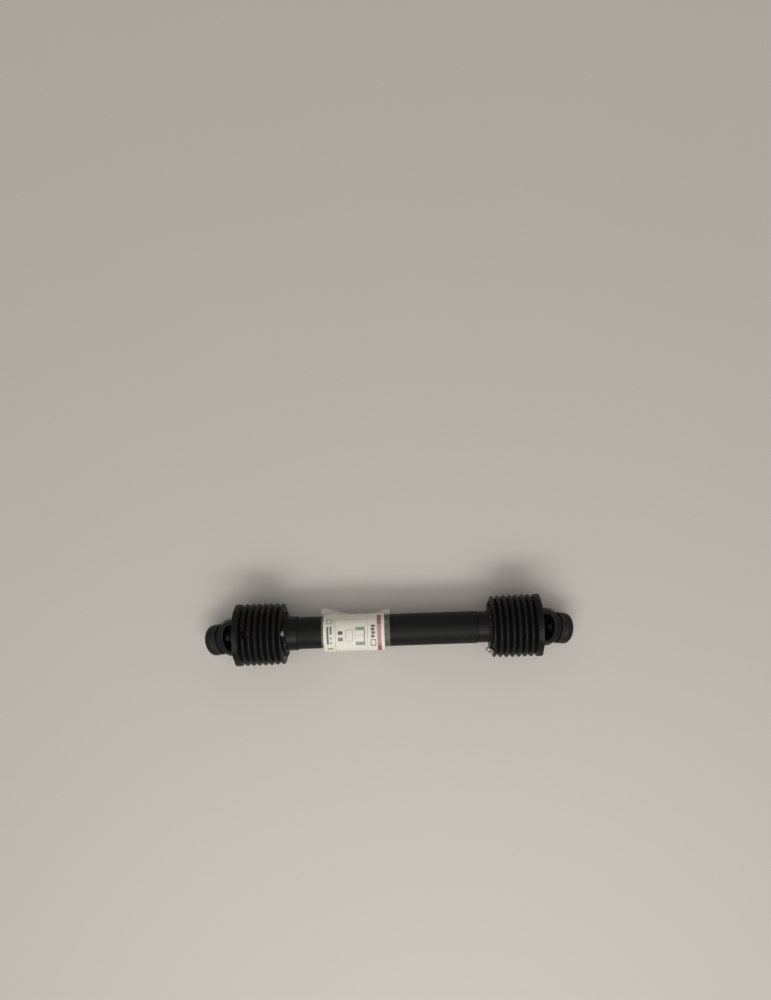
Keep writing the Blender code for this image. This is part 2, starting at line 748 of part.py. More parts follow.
def cone_profile(side):
    """Closed section of the bell, from the mouth over the ribs to the ledge and back inside."""
    half = RIB_CREST_WIDTH / 2
    band = RIB_RADIUS - PAD_HEIGHT
    hole = around(sleeve_outside(side), CONE_SEGMENTS)
    outside = [(-MOUTH_REACH, band), (-MOUTH_REACH + MOUTH_BAND_WIDTH, band)]
    inside = [(-MOUTH_REACH, band - CONE_WALL)]
    for number in range(RIB_COUNT):
        middle = FIRST_RIB + RIB_PITCH * number
        crest = rib_crest(number)
        outside += [(middle - half, crest), (middle + half, crest)]
        inside += [(middle, crest - CONE_WALL)]
        if number < RIB_COUNT - 1:
            valley = crest - RIB_DEPTH
            outside += [(middle + RIB_PITCH / 2, valley)]
            inside += [(middle + RIB_PITCH / 2, valley - CONE_WALL)]
    outside += [(CONE_BACK, LEDGE_RADIUS), (CONE_END, LEDGE_RADIUS), (CONE_END, hole)]
    inner_back = CONE_BACK - CONE_WALL
    inside += [(inner_back, rib_crest(RIB_COUNT - 1) - 2 * CONE_WALL)]
    inside += [(inner_back, LEDGE_RADIUS - CONE_WALL)]
    inside += [(CONE_END - CONE_WALL, LEDGE_RADIUS - CONE_WALL), (CONE_END - CONE_WALL, hole)]
    return [(-v, r) for v, r in outside + list(reversed(inside))]


def raise_pads(mesh, turn):
    """Lift two of every three band faces on the mouth, which leaves a gap between pads."""
    pitch = 2 * math.pi / PAD_COUNT
    chosen = []
    for face in mesh.faces:
        centre = face.calc_center_median()
        outward = face.normal.dot(Vector((0.0, centre.y, centre.z)).normalized())
        on_band = centre.x > MOUTH_REACH - MOUTH_BAND_WIDTH
        if on_band and outward > 0.99:
            angle = (math.atan2(centre.z, centre.y) - turn) % pitch
            if angle < pitch * 2 / 3:
                chosen.append(face)
    lifted = bmesh.ops.extrude_face_region(mesh, geom=chosen)
    for item in lifted["geom"]:
        if isinstance(item, bmesh.types.BMVert):
            out = Vector((0.0, item.co.y, item.co.z)).normalized()
            item.co += out * PAD_HEIGHT
    bmesh.ops.delete(mesh, geom=chosen, context="FACES")
    bmesh.ops.recalc_face_normals(mesh, faces=mesh.faces)


def radial(angle, side):
    """Turn a shape built along +z so that it points the given angle from the top, toward +Y."""
    return Matrix.Rotation(-angle * SIDES[side], 4, "X")


def screw_places(side):
    """Frames of the guard screws: local +z leaves the seat at a slant, outward and inboard."""
    seat = (-(CONE_BACK + SCREW_SEAT_OFFSET), 0.0, SCREW_SEAT_RADIUS)
    places = []
    for number in range(SCREW_COUNT):
        angle = SCREW_TURN[side] + 2 * math.pi * number / SCREW_COUNT
        slant = Matrix.Rotation(-SCREW_SLANT, 4, "Y")
        places.append(radial(angle, side) @ Matrix.Translation(seat) @ slant)
    return places


def upright(profile, segments):
    """Turn an (x, r) profile about Z instead of X."""
    return turned(revolve(profile, segments), quarter_turn("Y", -1))


def screw_bosses(side):
    """Slanted seats in the corner between the last rib and the ledge."""
    low = -SCREW_BOSS_DEPTH
    boss = [(low, 0.0), (low, SCREW_BOSS_RADIUS), (0.0, SCREW_BOSS_RADIUS), (0.0, 0.0)]
    return joined([turned(upright(boss, 10), place) for place in screw_places(side)])


def screw_holes(side):
    reach = SCREW_LENGTH + 8.0 * MM
    hole = SCREW_RADIUS + CLEARANCE
    profile = [(-reach, 0.0), (-reach, hole), (5.0 * MM, hole), (5.0 * MM, 0.0)]
    return joined([turned(upright(profile, 8), place) for place in screw_places(side)])


def make_guard_cone(side, parent):
    bottom = -math.pi / 2 + math.pi / CONE_SEGMENTS
    bell = revolve(cone_profile(side), CONE_SEGMENTS, bottom)
    raise_pads(bell, bottom)
    cone = piece(side + "_guard_cone", bell, BLACK_PLASTIC, parent)
    hole = GREASE_HOLE_RADIUS
    drill = [(RIB_RADIUS * 0.7, 0.0), (RIB_RADIUS * 0.7, hole), (RIB_RADIUS * 1.2, hole)]
    drill += [(RIB_RADIUS * 1.2, 0.0)]
    place = Matrix.Translation((-GREASE_HOLE_INBOARD, 0.0, 0.0))
    grease_hole = turned(upright(drill, 14), radial(GREASE_HOLE_ANGLE[side], side), place)
    combine(cone, "grease_hole", grease_hole)
    combine(cone, "screw_bosses", screw_bosses(side), "UNION")
    combine(cone, "screw_holes", screw_holes(side))


def make_guard_base(side, parent):
    """Turned base: bearing seat, lip, screw flange, step for the tube's end and sleeve."""
    bore = sleeve_radius(side) + CLEARANCE
    outside = bore + SLEEVE_WALL[side]
    seat = around(NECK_RADIUS + CLEARANCE + BEARING_THICKNESS, ROUND_SEGMENTS)
    lip = around(NECK_RADIUS, ROUND_SEGMENTS, SLIDE_GAP)
    bearing_back = BEARING_END + BEARING_FLANGE + CLEARANCE
    bearing_front = BEARING_END - BEARING_WIDTH - BEARING_FLANGE
    step = sleeve_radius(side) - GUARD_WALL
    end = TUBE_SEAT + SLEEVE_LENGTH[side]
    flange_front = FLANGE_BACK - FLANGE_THICKNESS
    profile = [
        (bearing_front, seat),
        (bearing_back, seat),
        (bearing_back, lip),
        (FLANGE_BACK - 1.0 * MM, lip),
        (FLANGE_BACK + 0.5 * MM, step),
        (TUBE_SEAT - CLEARANCE, step),
        (TUBE_SEAT - CLEARANCE, bore),
        (end, bore),
        (end, outside),
        (FLANGE_BACK, outside),
        (FLANGE_BACK, FLANGE_RADIUS),
        (flange_front, FLANGE_RADIUS),
        (flange_front, seat + BASE_WALL),
        (bearing_front, seat + BASE_WALL),
    ]
    turned_base = revolve([(-v, r) for v, r in profile], ROUND_SEGMENTS)
    base = piece(side + "_guard_base", turned_base, BLACK_PLASTIC, parent)
    combine(base, "screw_holes", screw_holes(side))


def make_bearing_ring(side, parent):
    """Split nylon ring: its foot runs in the neck's groove, its band sits in the base."""
    start = BEARING_END - BEARING_WIDTH + CLEARANCE
    end = BEARING_END - CLEARANCE
    foot = around(NECK_RADIUS - BEARING_DEPTH, ROUND_SEGMENTS)
    low = around(NECK_RADIUS, ROUND_SEGMENTS)
    high = NECK_RADIUS + CLEARANCE + BEARING_THICKNESS
    profile = [
        (start, foot),
        (end, foot),
        (end, low),
        (end + BEARING_FLANGE, low),
        (end + BEARING_FLANGE, high),
        (start - BEARING_FLANGE, high),
        (start - BEARING_FLANGE, low),
        (start, low),
    ]
    profile = [(-v, r) for v, r in profile]
    ring = revolve(profile, 19, BEARING_SPLIT / 2, 2 * math.pi - BEARING_SPLIT)
    piece(side + "_bearing_ring", ring, NYLON, parent)


def make_guard_screws(side, parent):
    """Pan-head screws, each in its own slanted seat."""
    head = SCREW_HEAD_RADIUS
    top = SCREW_HEAD_HEIGHT
    profile = [
        (-SCREW_LENGTH, 0.0),
        (-SCREW_LENGTH, SCREW_RADIUS),
        (CLEARANCE, SCREW_RADIUS),
        (CLEARANCE, head),
        (top * 0.5, head),
        (top, head * 0.6),
        (top, 0.0),
    ]
    for number, place in enumerate(screw_places(side), start=1):
        screw = piece(side + "_guard_screw_" + str(number), upright(profile, 8), GREY_SCREW, parent)
        screw.matrix_local = place


def link_path(length, width):
    """Stadium-shaped path of one chain link, in the x-y plane, long along y."""
    turn = width / 2
    straight = length / 2 - turn
    path = arc((0.0, straight), turn, math.radians(15), math.radians(165), 3)
    path += [(-x, -y) for x, y in path]
    return path


def make_chain(side, parent):
    """Chain round the ledge: links lean left and right in turn and bear on each other."""
    wire_width = 2 * CHAIN_WIRE_RADIUS
    pitch = 2 * CHAIN_LINK_LIFT * math.tan(math.pi / CHAIN_LINKS)
    path = link_path(pitch + wire_width - CHAIN_BITE, CHAIN_LINK_WIDTH - wire_width)
    sets = [bmesh.new(), bmesh.new()]
    for number in range(CHAIN_LINKS):
        angle = 2 * math.pi * number / CHAIN_LINKS
        lean = math.pi / 4 if number % 2 else -math.pi / 4
        around_shaft = Matrix.Rotation(angle, 4, "X")
        out = Matrix.Translation((-CHAIN_PLACE, 0.0, CHAIN_LINK_LIFT))
        place = around_shaft @ out @ Matrix.Rotation(lean, 4, "Y")
        points = [place @ Vector((x, y, 0.0)) for x, y in path]
        wire(points, CHAIN_WIRE_RADIUS, 5, True, sets[number % 2])
    chain = piece(side + "_chain", sets[0], DARK_CHAIN, parent)
    combine(chain, "other_links", sets[1], "UNION")


def make_chain_hook(side, parent):
    """Open ring hook through one of the odd links, which lean outward."""
    lean = math.pi / 4
    link = Vector((-CHAIN_PLACE, 0.0, CHAIN_LINK_LIFT))
    away = Vector((-math.sin(lean), 0.0, math.cos(lean)))
    centre = link + away * HOOK_RADIUS
    path = []
    steps = 10
    for step in range(steps + 1):
        angle = HOOK_OPENING / 2 + (2 * math.pi - HOOK_OPENING) * step / steps
        a, b = polar(HOOK_RADIUS, angle)
        path.append(centre + away * a + away.cross(Vector((0.0, 1.0, 0.0))) * b)
    turn = Matrix.Rotation(2 * math.pi * HOOK_LINK[side] / CHAIN_LINKS, 4, "X")
    hook = turned(wire(path, HOOK_WIRE_RADIUS, 6), turn)
    piece(side + "_chain_hook", hook, DARK_CHAIN, parent)


# Tubes, placed from the middle of the shaft

def make_drive_tubes(parent):
    """Telescoping drive tubes of rounded-triangle section."""
    seat = JOINT_X - SOCKET_START - CLEARANCE
    neck = JOINT_X - NECK_END
    ends = {
        "left": ("outer_drive_tube", -seat, neck - OUTER_TUBE_END_GAP),
        "right": ("inner_drive_tube", INNER_TUBE_END_GAP - neck, seat),
    }
    for side, (name, low, high) in ends.items():
        radius = tube_radius(side)
        tube = piece(name, prism(tube_outline(radius), "x", low, high), GREASED_STEEL, parent)
        bore = prism(tube_outline(radius - TUBE_WALL), "x", low - 1.0 * MM, high + 1.0 * MM)
        combine(tube, "bore", bore)
        place = Matrix.Translation((SIDES[side] * (JOINT_X - PIN_INBOARD), 0.0, 0.0))
        combine(tube, "pin_hole", turned(pin_hole(PIN_RADIUS + CLEARANCE), place))


def guard_tube(name, radius, low, high, parent):
    bore = radius - GUARD_WALL
    profile = [(low, bore), (high, bore), (high, radius), (low, radius)]
    piece(name, revolve(profile, ROUND_SEGMENTS), BLACK_TUBE, parent)


def make_guard_tubes(parent):
    seat = JOINT_X - TUBE_SEAT
    left = -seat
    sleeve_end = seat - SLEEVE_LENGTH["right"]
    outer_end = sleeve_end - TELESCOPE_GAP
    guard_tube("outer_guard_tube", OUTER_GUARD_RADIUS, left, outer_end, parent)
    inner_start = left + INNER_GUARD_GAP
    guard_tube("inner_guard_tube", sleeve_radius("right"), inner_start, seat, parent)


# Label and film

def wrapped_sheet(name, section, width, thickness, finish, parent, stations=1):
    """A sheet from a section that may change along X, thickened to a closed solid."""
    mesh = bmesh.new()
    rows = []
    for station in range(stations + 1):
        share = station / stations
        x = (share - 0.5) * width
        rows.append([mesh.verts.new((x, y, z)) for y, z in section(share)])
    for low, high in zip(rows, rows[1:]):
        for k in range(len(low) - 1):
            mesh.faces.new((low[k], low[k + 1], high[k + 1], high[k]))
    bmesh.ops.recalc_face_normals(mesh, faces=mesh.faces)
    sheet = piece(name, mesh, finish, parent, location=(LABEL_MIDDLE_X, 0.0, 0.0))
    solid = sheet.modifiers.new("thickness", "SOLIDIFY")
    solid.thickness = thickness
    solid.offset = 0.0
    solid.use_even_offset = True
    solid.use_rim = True
    return sheet


def wrap_points(lift, start, end):
    """Section of a loose wrap: it bulges at both sides of the tube, in steps of 20 degrees."""
    step = 20 if end > start else -20
    base = around(OUTER_GUARD_RADIUS, ROUND_SEGMENTS) + lift
    points = []
    for degrees in range(start, end + step, step):
        angle = math.radians(degrees)
        points.append(polar(base + LABEL_BULGE * math.cos(angle) ** 2, angle))
    return points


def label_section(share):
    """Paper laid over the tube, open below."""
    return wrap_points(LABEL_THICKNESS / 2, -40, 220)


def film_section(share):
    """Clear film over the paper. Its free edge stands away from the tube, most at both ends."""
    lift = LABEL_THICKNESS + FILM_THICKNESS / 2 + 2 * CLEARANCE
    points = wrap_points(lift, 240, 20)
    sag = FILM_FLAP_SAG * (1.0 - (2 * share - 1.0) ** 2)
    reach = FILM_FLAP - sag
    y, z = points[-1]
    points.append((y + reach / 2, z + reach * 0.2))
    points.append((y + reach, z + reach * 0.5))
    return points


def make_label(parent):
    wrapped_sheet("label_wrap", label_section, LABEL_WIDTH, LABEL_THICKNESS, WARM_PAPER, parent)
    wrapped_sheet("label_film", film_section, FILM_WIDTH, FILM_THICKNESS, CLEAR_FILM, parent, 4)


# Assembly

def rest_droop():
    """How far an outer yoke hangs down before its collar would meet the floor."""
    edge_x = COLLAR_END - COLLAR_EDGE_RADIUS
    edge_radius = COLLAR_RADIUS - COLLAR_EDGE_RADIUS
    reach = math.hypot(edge_x, edge_radius)
    height = AXIS_HEIGHT - COLLAR_EDGE_RADIUS - FLOOR_GAP
    return math.asin(height / reach) - math.atan2(edge_radius, edge_x)


def make_end(side, shaft_axis):
    """One universal joint with the guard cone that covers it."""
    sign = SIDES[side]
    facing = 0.0 if side == "right" else math.pi
    centre = frame(side + "_joint_centre", shaft_axis, (sign * JOINT_X, 0.0, 0.0), facing)
    bent = frame(side + "_bent_part", centre, turn=-sign * REST_BEND)
    hanging = frame(side + "_hanging_part", bent, droop=rest_droop())
    make_inner_yoke(side, centre)
    make_yoke_pin(side, centre)
    make_cups(side, centre, "z")
    make_cross(side, bent)
    make_nipple(side, bent)
    make_cups(side, hanging, "y")
    make_outer_yoke(side, hanging)
    make_collar(side, hanging)
    make_collar_spring(side, hanging)
    make_collar_ring(side, hanging)
    make_balls(side, hanging)
    make_guard_cone(side, centre)
    make_guard_base(side, centre)
    make_bearing_ring(side, centre)
    make_guard_screws(side, centre)
    make_chain(side, centre)
    make_chain_hook(side, centre)


def main():
    for old in list(bpy.data.objects):
        bpy.data.objects.remove(old, do_unlink=True)
    shaft_axis = frame("shaft_axis", location=(0.0, 0.0, AXIS_HEIGHT))
    for side in SIDES:
        make_end(side, shaft_axis)
    make_drive_tubes(shaft_axis)
    make_guard_tubes(shaft_axis)
    make_label(shaft_axis)
    bpy.context.view_layer.update()


main()
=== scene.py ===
"""Looks of the PTO drive shaft: smooth moulded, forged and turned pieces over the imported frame.

Metres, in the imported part's frame: the shaft lies along X. Each end is built in the frame of its own
joint, where +x points outward from the cross centre, and is then placed at the left or the right.
"""

import json
import random
from math import asin, atan2, cos, hypot, pi, radians, sin, tan

import bmesh
import bpy
from mathutils import Matrix, Vector


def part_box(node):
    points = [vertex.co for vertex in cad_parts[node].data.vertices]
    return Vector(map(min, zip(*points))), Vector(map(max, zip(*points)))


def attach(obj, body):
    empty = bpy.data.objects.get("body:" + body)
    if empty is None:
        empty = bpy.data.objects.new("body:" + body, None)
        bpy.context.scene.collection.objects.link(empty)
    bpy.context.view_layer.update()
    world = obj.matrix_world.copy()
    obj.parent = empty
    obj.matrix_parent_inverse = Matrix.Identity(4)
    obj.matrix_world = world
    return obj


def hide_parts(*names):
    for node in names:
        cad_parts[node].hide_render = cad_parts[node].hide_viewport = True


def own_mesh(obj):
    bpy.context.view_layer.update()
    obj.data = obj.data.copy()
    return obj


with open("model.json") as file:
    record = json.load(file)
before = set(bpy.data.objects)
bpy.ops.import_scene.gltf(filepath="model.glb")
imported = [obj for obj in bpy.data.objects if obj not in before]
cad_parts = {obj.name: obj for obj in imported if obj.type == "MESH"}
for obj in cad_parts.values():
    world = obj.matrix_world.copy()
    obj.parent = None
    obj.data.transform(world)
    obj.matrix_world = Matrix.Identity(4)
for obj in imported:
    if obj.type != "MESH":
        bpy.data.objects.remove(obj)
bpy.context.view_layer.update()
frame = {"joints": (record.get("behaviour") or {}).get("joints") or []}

MM = 0.001
SIDES = {"left": -1.0, "right": 1.0}

# Places taken from the frame
JOINTS = {joint["name"]: joint for joint in frame["joints"]}
JOINT_X = JOINTS["right_cross_swing"]["pos_m"][0]
AXIS_HEIGHT = JOINTS["right_cross_swing"]["pos_m"][2]
REST_BEND = radians(8.0)
FLOOR_GAP = 0.5 * MM
CLEARANCE = 0.3 * MM

# Mesh building and finishes
NEARLY_STRAIGHT = radians(165.0)
SOFT_SHARE = 0.45
CUT_PAST = 5.0 * MM
GUARD_SEGMENTS = 120
HUB_SEGMENTS = 96
BORE_SEGMENTS = 64
SHARP_ANGLE = 38.0
FLAT_ANGLE = 30.0
ROUND_ANGLE = 60.0
NOISE_LOW = 0.3
NOISE_HIGH = 0.7
PLASTIC_SPECULAR = 0.14
PAINT_SPECULAR = 0.2
TURNING_MARKS = 900.0

# Camera of the photograph
CAMERA_PLACE = (62.9 * MM, 97.1 * MM, 2148.0 * MM)
CAMERA_TURN = (radians(6.484), radians(1.839), radians(-2.070))
PHOTO_HEIGHT = 1000
FOCAL_PIXELS = 800.0
SENSOR = 36.0
CAMERA_SHIFT = 0.5 / PHOTO_HEIGHT
VIEW_END = 50.0

# Guard cone
CONE_SEGMENTS = 135
RIB_RADIUS = AXIS_HEIGHT
RIB_COUNT = 8
RIB_PITCH = 15.47 * MM
RIB_DEPTH = 8.0 * MM
RIB_SHARPNESS = 0.9
FIRST_RIB = -13.0 * MM
LAST_RIB = FIRST_RIB + RIB_PITCH * (RIB_COUNT - 1)
LAST_RIB_DROP = 1.5 * MM
CONE_WALL = 2.6 * MM
MOUTH_REACH = 24.4 * MM
MOUTH_BAND_END = -15.5 * MM
PAD_HEIGHT = 1.5 * MM
PAD_COUNT = 9
PAD_SHARE = 0.67
PAD_TURN = radians(4.0)
PAD_RAMP = 7.0 * MM
PAD_END_SHARE = 0.35
LEDGE_RADIUS = 49.5 * MM
LEDGE_FILLET = 1.5 * MM
LEDGE_EDGE = 0.8 * MM
CONE_BACK = LAST_RIB + 3.0 * MM
CONE_END = CONE_BACK + 7.0 * MM
GREASE_HOLE_RADIUS = 11.3 * MM
GREASE_HOLE_INBOARD = 9.0 * MM
GREASE_HOLE_ANGLE = {"left": radians(2.4), "right": radians(150.0)}

# Guard base, tubes and bearing
GUARD_WALL = 2.5 * MM
OUTER_GUARD_RADIUS = 40.5 * MM
INNER_GUARD_RADIUS = 37.2 * MM
SLEEVE_WALL = {"left": 2.2 * MM, "right": 1.8 * MM}
SLEEVE_LENGTH = {"left": 34.3 * MM, "right": 36.0 * MM}
FLANGE_RADIUS = 68.0 * MM
FLANGE_THICKNESS = 3.0 * MM
FLANGE_BACK = CONE_BACK - CONE_WALL - CLEARANCE
TUBE_SEAT = CONE_BACK + CLEARANCE
BEARING_FLANGE = 1.0 * MM
BEARING_END = FLANGE_BACK - FLANGE_THICKNESS - BEARING_FLANGE
BEARING_WIDTH = 8.0 * MM
BEARING_THICKNESS = 4.0 * MM
BEARING_SPLIT = radians(12.0)
NECK_RADIUS = 32.0 * MM
NECK_START = 60.0 * MM
NECK_END = 96.0 * MM
NECK_GROOVE = 3.0 * MM

# Guard screws
SCREW_HEAD_RADIUS = 6.5 * MM
SCREW_HEAD_HEIGHT = 3.0 * MM
SCREW_RADIUS = 2.2 * MM
SCREW_LENGTH = 11.0 * MM
SCREW_DRILL = 20.0 * MM
SCREW_SLOT_REACH = 3.2 * MM
SCREW_SLOT_HALF = 0.55 * MM
SCREW_SEAT_RADIUS = 67.8 * MM
SCREW_SEAT_OFFSET = 3.4 * MM
SCREW_BOSS_RADIUS = 7.2 * MM
SCREW_BOSS_DEPTH = 5.0 * MM
SCREW_BOSS_EDGE = 0.8 * MM
SCREW_SLANT = radians(65.0)
SCREW_TURN = {"left": radians(2.5), "right": radians(120.0)}

# Chain and hook
CHAIN_WIRE_RADIUS = 1.3 * MM
CHAIN_LINK_WIDTH = 9.2 * MM
CHAIN_LINKS = 12
CHAIN_BITE = 0.3 * MM
LINK_LEAN = pi / 4
CHAIN_REACH = (CHAIN_LINK_WIDTH / 2 - CHAIN_WIRE_RADIUS) * sin(pi / 4) + CHAIN_WIRE_RADIUS
CHAIN_LIFT = LEDGE_RADIUS + CLEARANCE + CHAIN_REACH
CHAIN_PLACE = CONE_BACK + CLEARANCE + CHAIN_REACH
HOOK_RADIUS = 6.0 * MM
HOOK_WIRE_RADIUS = 1.5 * MM
HOOK_OPENING = radians(40.0)
HOOK_STEPS = 40
HOOK_LINK = {"left": 7, "right": 3}

# Forks and cross
EAR_OUTER = 47.5 * MM
EAR_INNER = 32.5 * MM
EAR_BOSS_RADIUS = 22.5 * MM
EAR_CORNER_RADIUS = 49.3 * MM
CHEEK_LENGTH = 38.0 * MM
CROTCH_START = 34.0 * MM
OUTER_CROTCH = 52.0 * MM
INNER_CROTCH = 50.0 * MM
OUTER_GRAIN = 1.1 * MM
INNER_GRAIN = 1.3 * MM
CROSS_REACH = 19.0 * MM
CROSS_HALF = CROSS_REACH * 0.58
TRUNNION_RADIUS = 11.0 * MM
CUP_RADIUS = 15.1 * MM
CUP_REACH = 39.7 * MM
CUP_LENGTH = 19.2 * MM
CUP_BOTTOM = 1.4 * MM
CIRCLIP_RADIUS = 16.6 * MM
CIRCLIP_WIDTH = 3.2 * MM
CIRCLIP_THICKNESS = 1.4 * MM
CIRCLIP_OPENING = radians(70.0)
# Grease nipple: low, high and radius of its socket and hexagon, then (x, r) of its stem in mm
NIPPLE_SOCKET = (12.0 * MM, 25.0 * MM, 3.4 * MM)
NIPPLE_HEXAGON = (21.0 * MM, 24.0 * MM, 3.8 * MM)
NIPPLE_STEM = ((12.5, 0.0), (12.5, 3.0), (22.0, 3.0), (22.0, 2.4), (28.0, 2.4),
               (29.5, 3.2), (30.5, 3.2), (32.6, 1.7), (33.0, 1.2), (33.0, 0.0))

# Hub, collar and lock
SHOULDER_START = 64.0 * MM
SHOULDER_END = 75.0 * MM
SHOULDER_RADIUS = 35.5 * MM
HUB_RADIUS = 28.0 * MM
HUB_END = 109.0 * MM
HUB_EDGE = 1.5 * MM
MOUTH_DEPTH = 2.2 * MM
MOUTH_FLARE = 1.2 * MM
SPLINE_COUNT = 6
SPLINE_MINOR_RADIUS = 14.95 * MM
SPLINE_MAJOR_RADIUS = 17.5 * MM
SPLINE_SLOT_WIDTH = 8.74 * MM
COLLAR_RADIUS = 39.5 * MM
COLLAR_START = 74.0 * MM
COLLAR_END = 108.0 * MM
COLLAR_STEP = 86.0 * MM
COLLAR_EDGE = 7.0 * MM
# Collar's inboard edge and grip groove, (x, depth) in mm
COLLAR_GRIP = ((0.0, 1.4), (1.4, 0.0), (7.0, 0.0), (7.6, 0.6), (9.0, 0.6), (9.6, 0.0))
RING_SEAT = 2.6 * MM
RING_RADIUS = 31.2 * MM
RING_THICKNESS = 1.5 * MM
RING_GROOVE = 1.6 * MM
RING_OPENING = radians(20.0)
BALL_COUNT = 3
BALL_RADIUS = 6.5 * MM
BALL_LIFT = 3.0 * MM
BALL_X = 90.0 * MM
BALL_DRILL = (9.0 * MM, 32.0 * MM)
BALL_SEAT_SHARE = 0.94
BALL_CENTRE_RADIUS = 21.15 * MM
SPRING_WIRE_RADIUS = 0.8 * MM
SPRING_TURNS = 2.0

# Drive tubes
TUBE_RADIUS = {"left": 22.5 * MM, "right": 18.4 * MM}
TUBE_LOBE = 2.5 * MM
TUBE_WALL = 3.6 * MM
TUBE_POINTS = 72
OUTER_DRIVE_GAP = 31.0 * MM
INNER_DRIVE_GAP = 16.0 * MM
PIN_INBOARD = 72.0 * MM
PIN_RADIUS = 4.0 * MM
PIN_SLOT = radians(40.0)
PIN_DRILL = 40.0 * MM

# Label and film
LABEL_MIDDLE_X = -84.5 * MM
LABEL_WIDTH = 154.0 * MM
LABEL_BULGE = 8.0 * MM
LABEL_TIGHT_BULGE = 1.2 * MM
LABEL_BASE = (OUTER_GUARD_RADIUS + CLEARANCE) / cos(pi / 20)
LABEL_LIFT = 0.4 * MM
PAPER_THICKNESS = 0.35 * MM
PRINT_LIFT = 0.65 * MM
PRINT_THICKNESS = 0.06 * MM
FILM_MIDDLE_X = -80.0 * MM
FILM_WIDTH = 173.0 * MM
FILM_LIFT = 1.7 * MM
FILM_THICKNESS = 0.2 * MM
FILM_FLAP = 19.8 * MM
FILM_FLAP_SAG = 16.8 * MM
FILM_FLAP_LEAN = 5.2 * MM
# Printed areas: start and end along the label in mm, low and high in degrees round it
GREY_BLOCKS = [(81.0, 105.0, 73.5, 84.5), (81.0, 105.0, 124.0, 137.0), (102.0, 105.3, 84.0, 125.0),
               (82.0, 102.0, 103.0, 104.2)]
BLACK_BARS = [(8.5, 13.5, 70.0, 131.0), (16.5, 21.5, 69.0, 96.0), (17.0, 21.0, 106.0, 112.0),
              (17.0, 21.0, 123.0, 129.0), (8.5, 23.0, 147.0, 152.0), (37.0, 49.0, 86.0, 98.0),
              (37.0, 49.0, 108.0, 120.0), (121.0, 130.5, 67.0, 75.0), (120.0, 129.0, 78.0, 87.0),
              (121.0, 130.5, 90.0, 99.0), (120.0, 129.0, 102.0, 111.0)]

# Stage
WORLD_COLOUR = (0.92, 0.90, 0.87, 1.0)
WORLD_LIGHT = 0.30
WORLD_SEEN = 0.62
SKY_AIM = (0.05, 0.45, -1.0)
SKY_POWER = 1.15
SKY_SPREAD = radians(70.0)
SKY_COLOUR = (1.0, 0.99, 0.97)
KEY_PLACE = (0.1, -1.5, 1.9)
KEY_POWER = 20.0
KEY_SIZE = (1.9, 0.5)
KEY_COLOUR = (1.0, 0.985, 0.96)
FLOOR_REACH = 8.0
FLOOR_COLOUR = (0.60, 0.565, 0.52)


def polar(radius, angle):
    return radius * cos(angle), radius * sin(angle)


def spread(low, high, steps):
    return [low + (high - low) * step / steps for step in range(steps + 1)]


def about(middle, half, steps):
    return spread(middle - half, middle + half, steps)


def arc(centre, radius, start, end, steps):
    """Points along a circular or, with a pair of radii, an elliptical arc."""
    across, up = radius if isinstance(radius, tuple) else (radius, radius)
    angles = spread(start, end, steps)
    return [(centre[0] + across * cos(angle), centre[1] + up * sin(angle)) for angle in angles]


def rod(low, high, radius, inner=0.0):
    """Closed (x, r) section of a plain rod or, with an inner radius, of a ring."""
    return [(low, inner), (low, radius), (high, radius), (high, inner)]


def softened(profile, radius, steps=3):
    """Round the corners of a closed outline by a radius, less where its edges are short."""
    points = []
    for k, point in enumerate(profile):
        here = Vector(point)
        before = Vector(profile[k - 1]) - here
        after = Vector(profile[(k + 1) % len(profile)]) - here
        turn = before.angle(after, 0.0) if before.length and after.length else 0.0
        if turn > NEARLY_STRAIGHT or here.y <= 0.0:
            points.append(point)
            continue
        one = here + before.normalized() * min(radius, before.length * SOFT_SHARE)
        two = here + after.normalized() * min(radius, after.length * SOFT_SHARE)
        for share in spread(0.0, 1.0, steps):
            place = one * (1 - share) ** 2 + here * 2 * share * (1 - share) + two * share ** 2
            points.append((place.x, place.y))
    return points


def rotation(axis, angle):
    return Matrix.Rotation(angle, 4, axis)


def quarter_turn(axis, quarters=1):
    return rotation(axis, quarters * pi / 2)


def shift(x, y=0.0, z=0.0):
    return Matrix.Translation((x, y, z))


# Mesh building

def facing_out(mesh):
    bmesh.ops.recalc_face_normals(mesh, faces=mesh.faces)
    return mesh


def revolve(profile, segments, phase=0.0, sweep=None):
    """Turn a closed (x, r) profile about X. With a sweep the ring stays open, capped at each end."""
    mesh = bmesh.new()
    turn = 2 * pi if sweep is None else sweep
    rings = []
    for step in range(segments if sweep is None else segments + 1):
        angle = phase + turn * step / segments
        ring = []
        for x, r in profile:
            if r <= 0.0 and rings:
                ring.append(rings[0][len(ring)])
            else:
                ring.append(mesh.verts.new((x, *polar(r, angle))))
        rings.append(ring)
    for step in range(segments):
        one = rings[step]
        two = rings[(step + 1) % len(rings)]
        for k in range(len(profile)):
            n = (k + 1) % len(profile)
            corners = list(dict.fromkeys((one[k], one[n], two[n], two[k])))
            if len(corners) > 2:
                mesh.faces.new(corners)
    if sweep is not None:
        mesh.faces.new(rings[0])
        mesh.faces.new(list(reversed(rings[-1])))
    return facing_out(mesh)


def prism(outline, axis, low, high):
    """Extrude a flat outline along the named axis, from low to high."""
    places = {
        "x": lambda a, b, h: (h, a, b),
        "y": lambda a, b, h: (a, h, b),
        "z": lambda a, b, h: (a, b, h),
    }
    mesh = bmesh.new()
    base = [mesh.verts.new(places[axis](a, b, low)) for a, b in outline]
    face = mesh.faces.new(base)
    extruded = bmesh.ops.extrude_face_region(mesh, geom=[face])
    moved = [item for item in extruded["geom"] if isinstance(item, bmesh.types.BMVert)]
    bmesh.ops.translate(mesh, verts=moved, vec=Vector(places[axis](0.0, 0.0, high - low)))
    return facing_out(mesh)


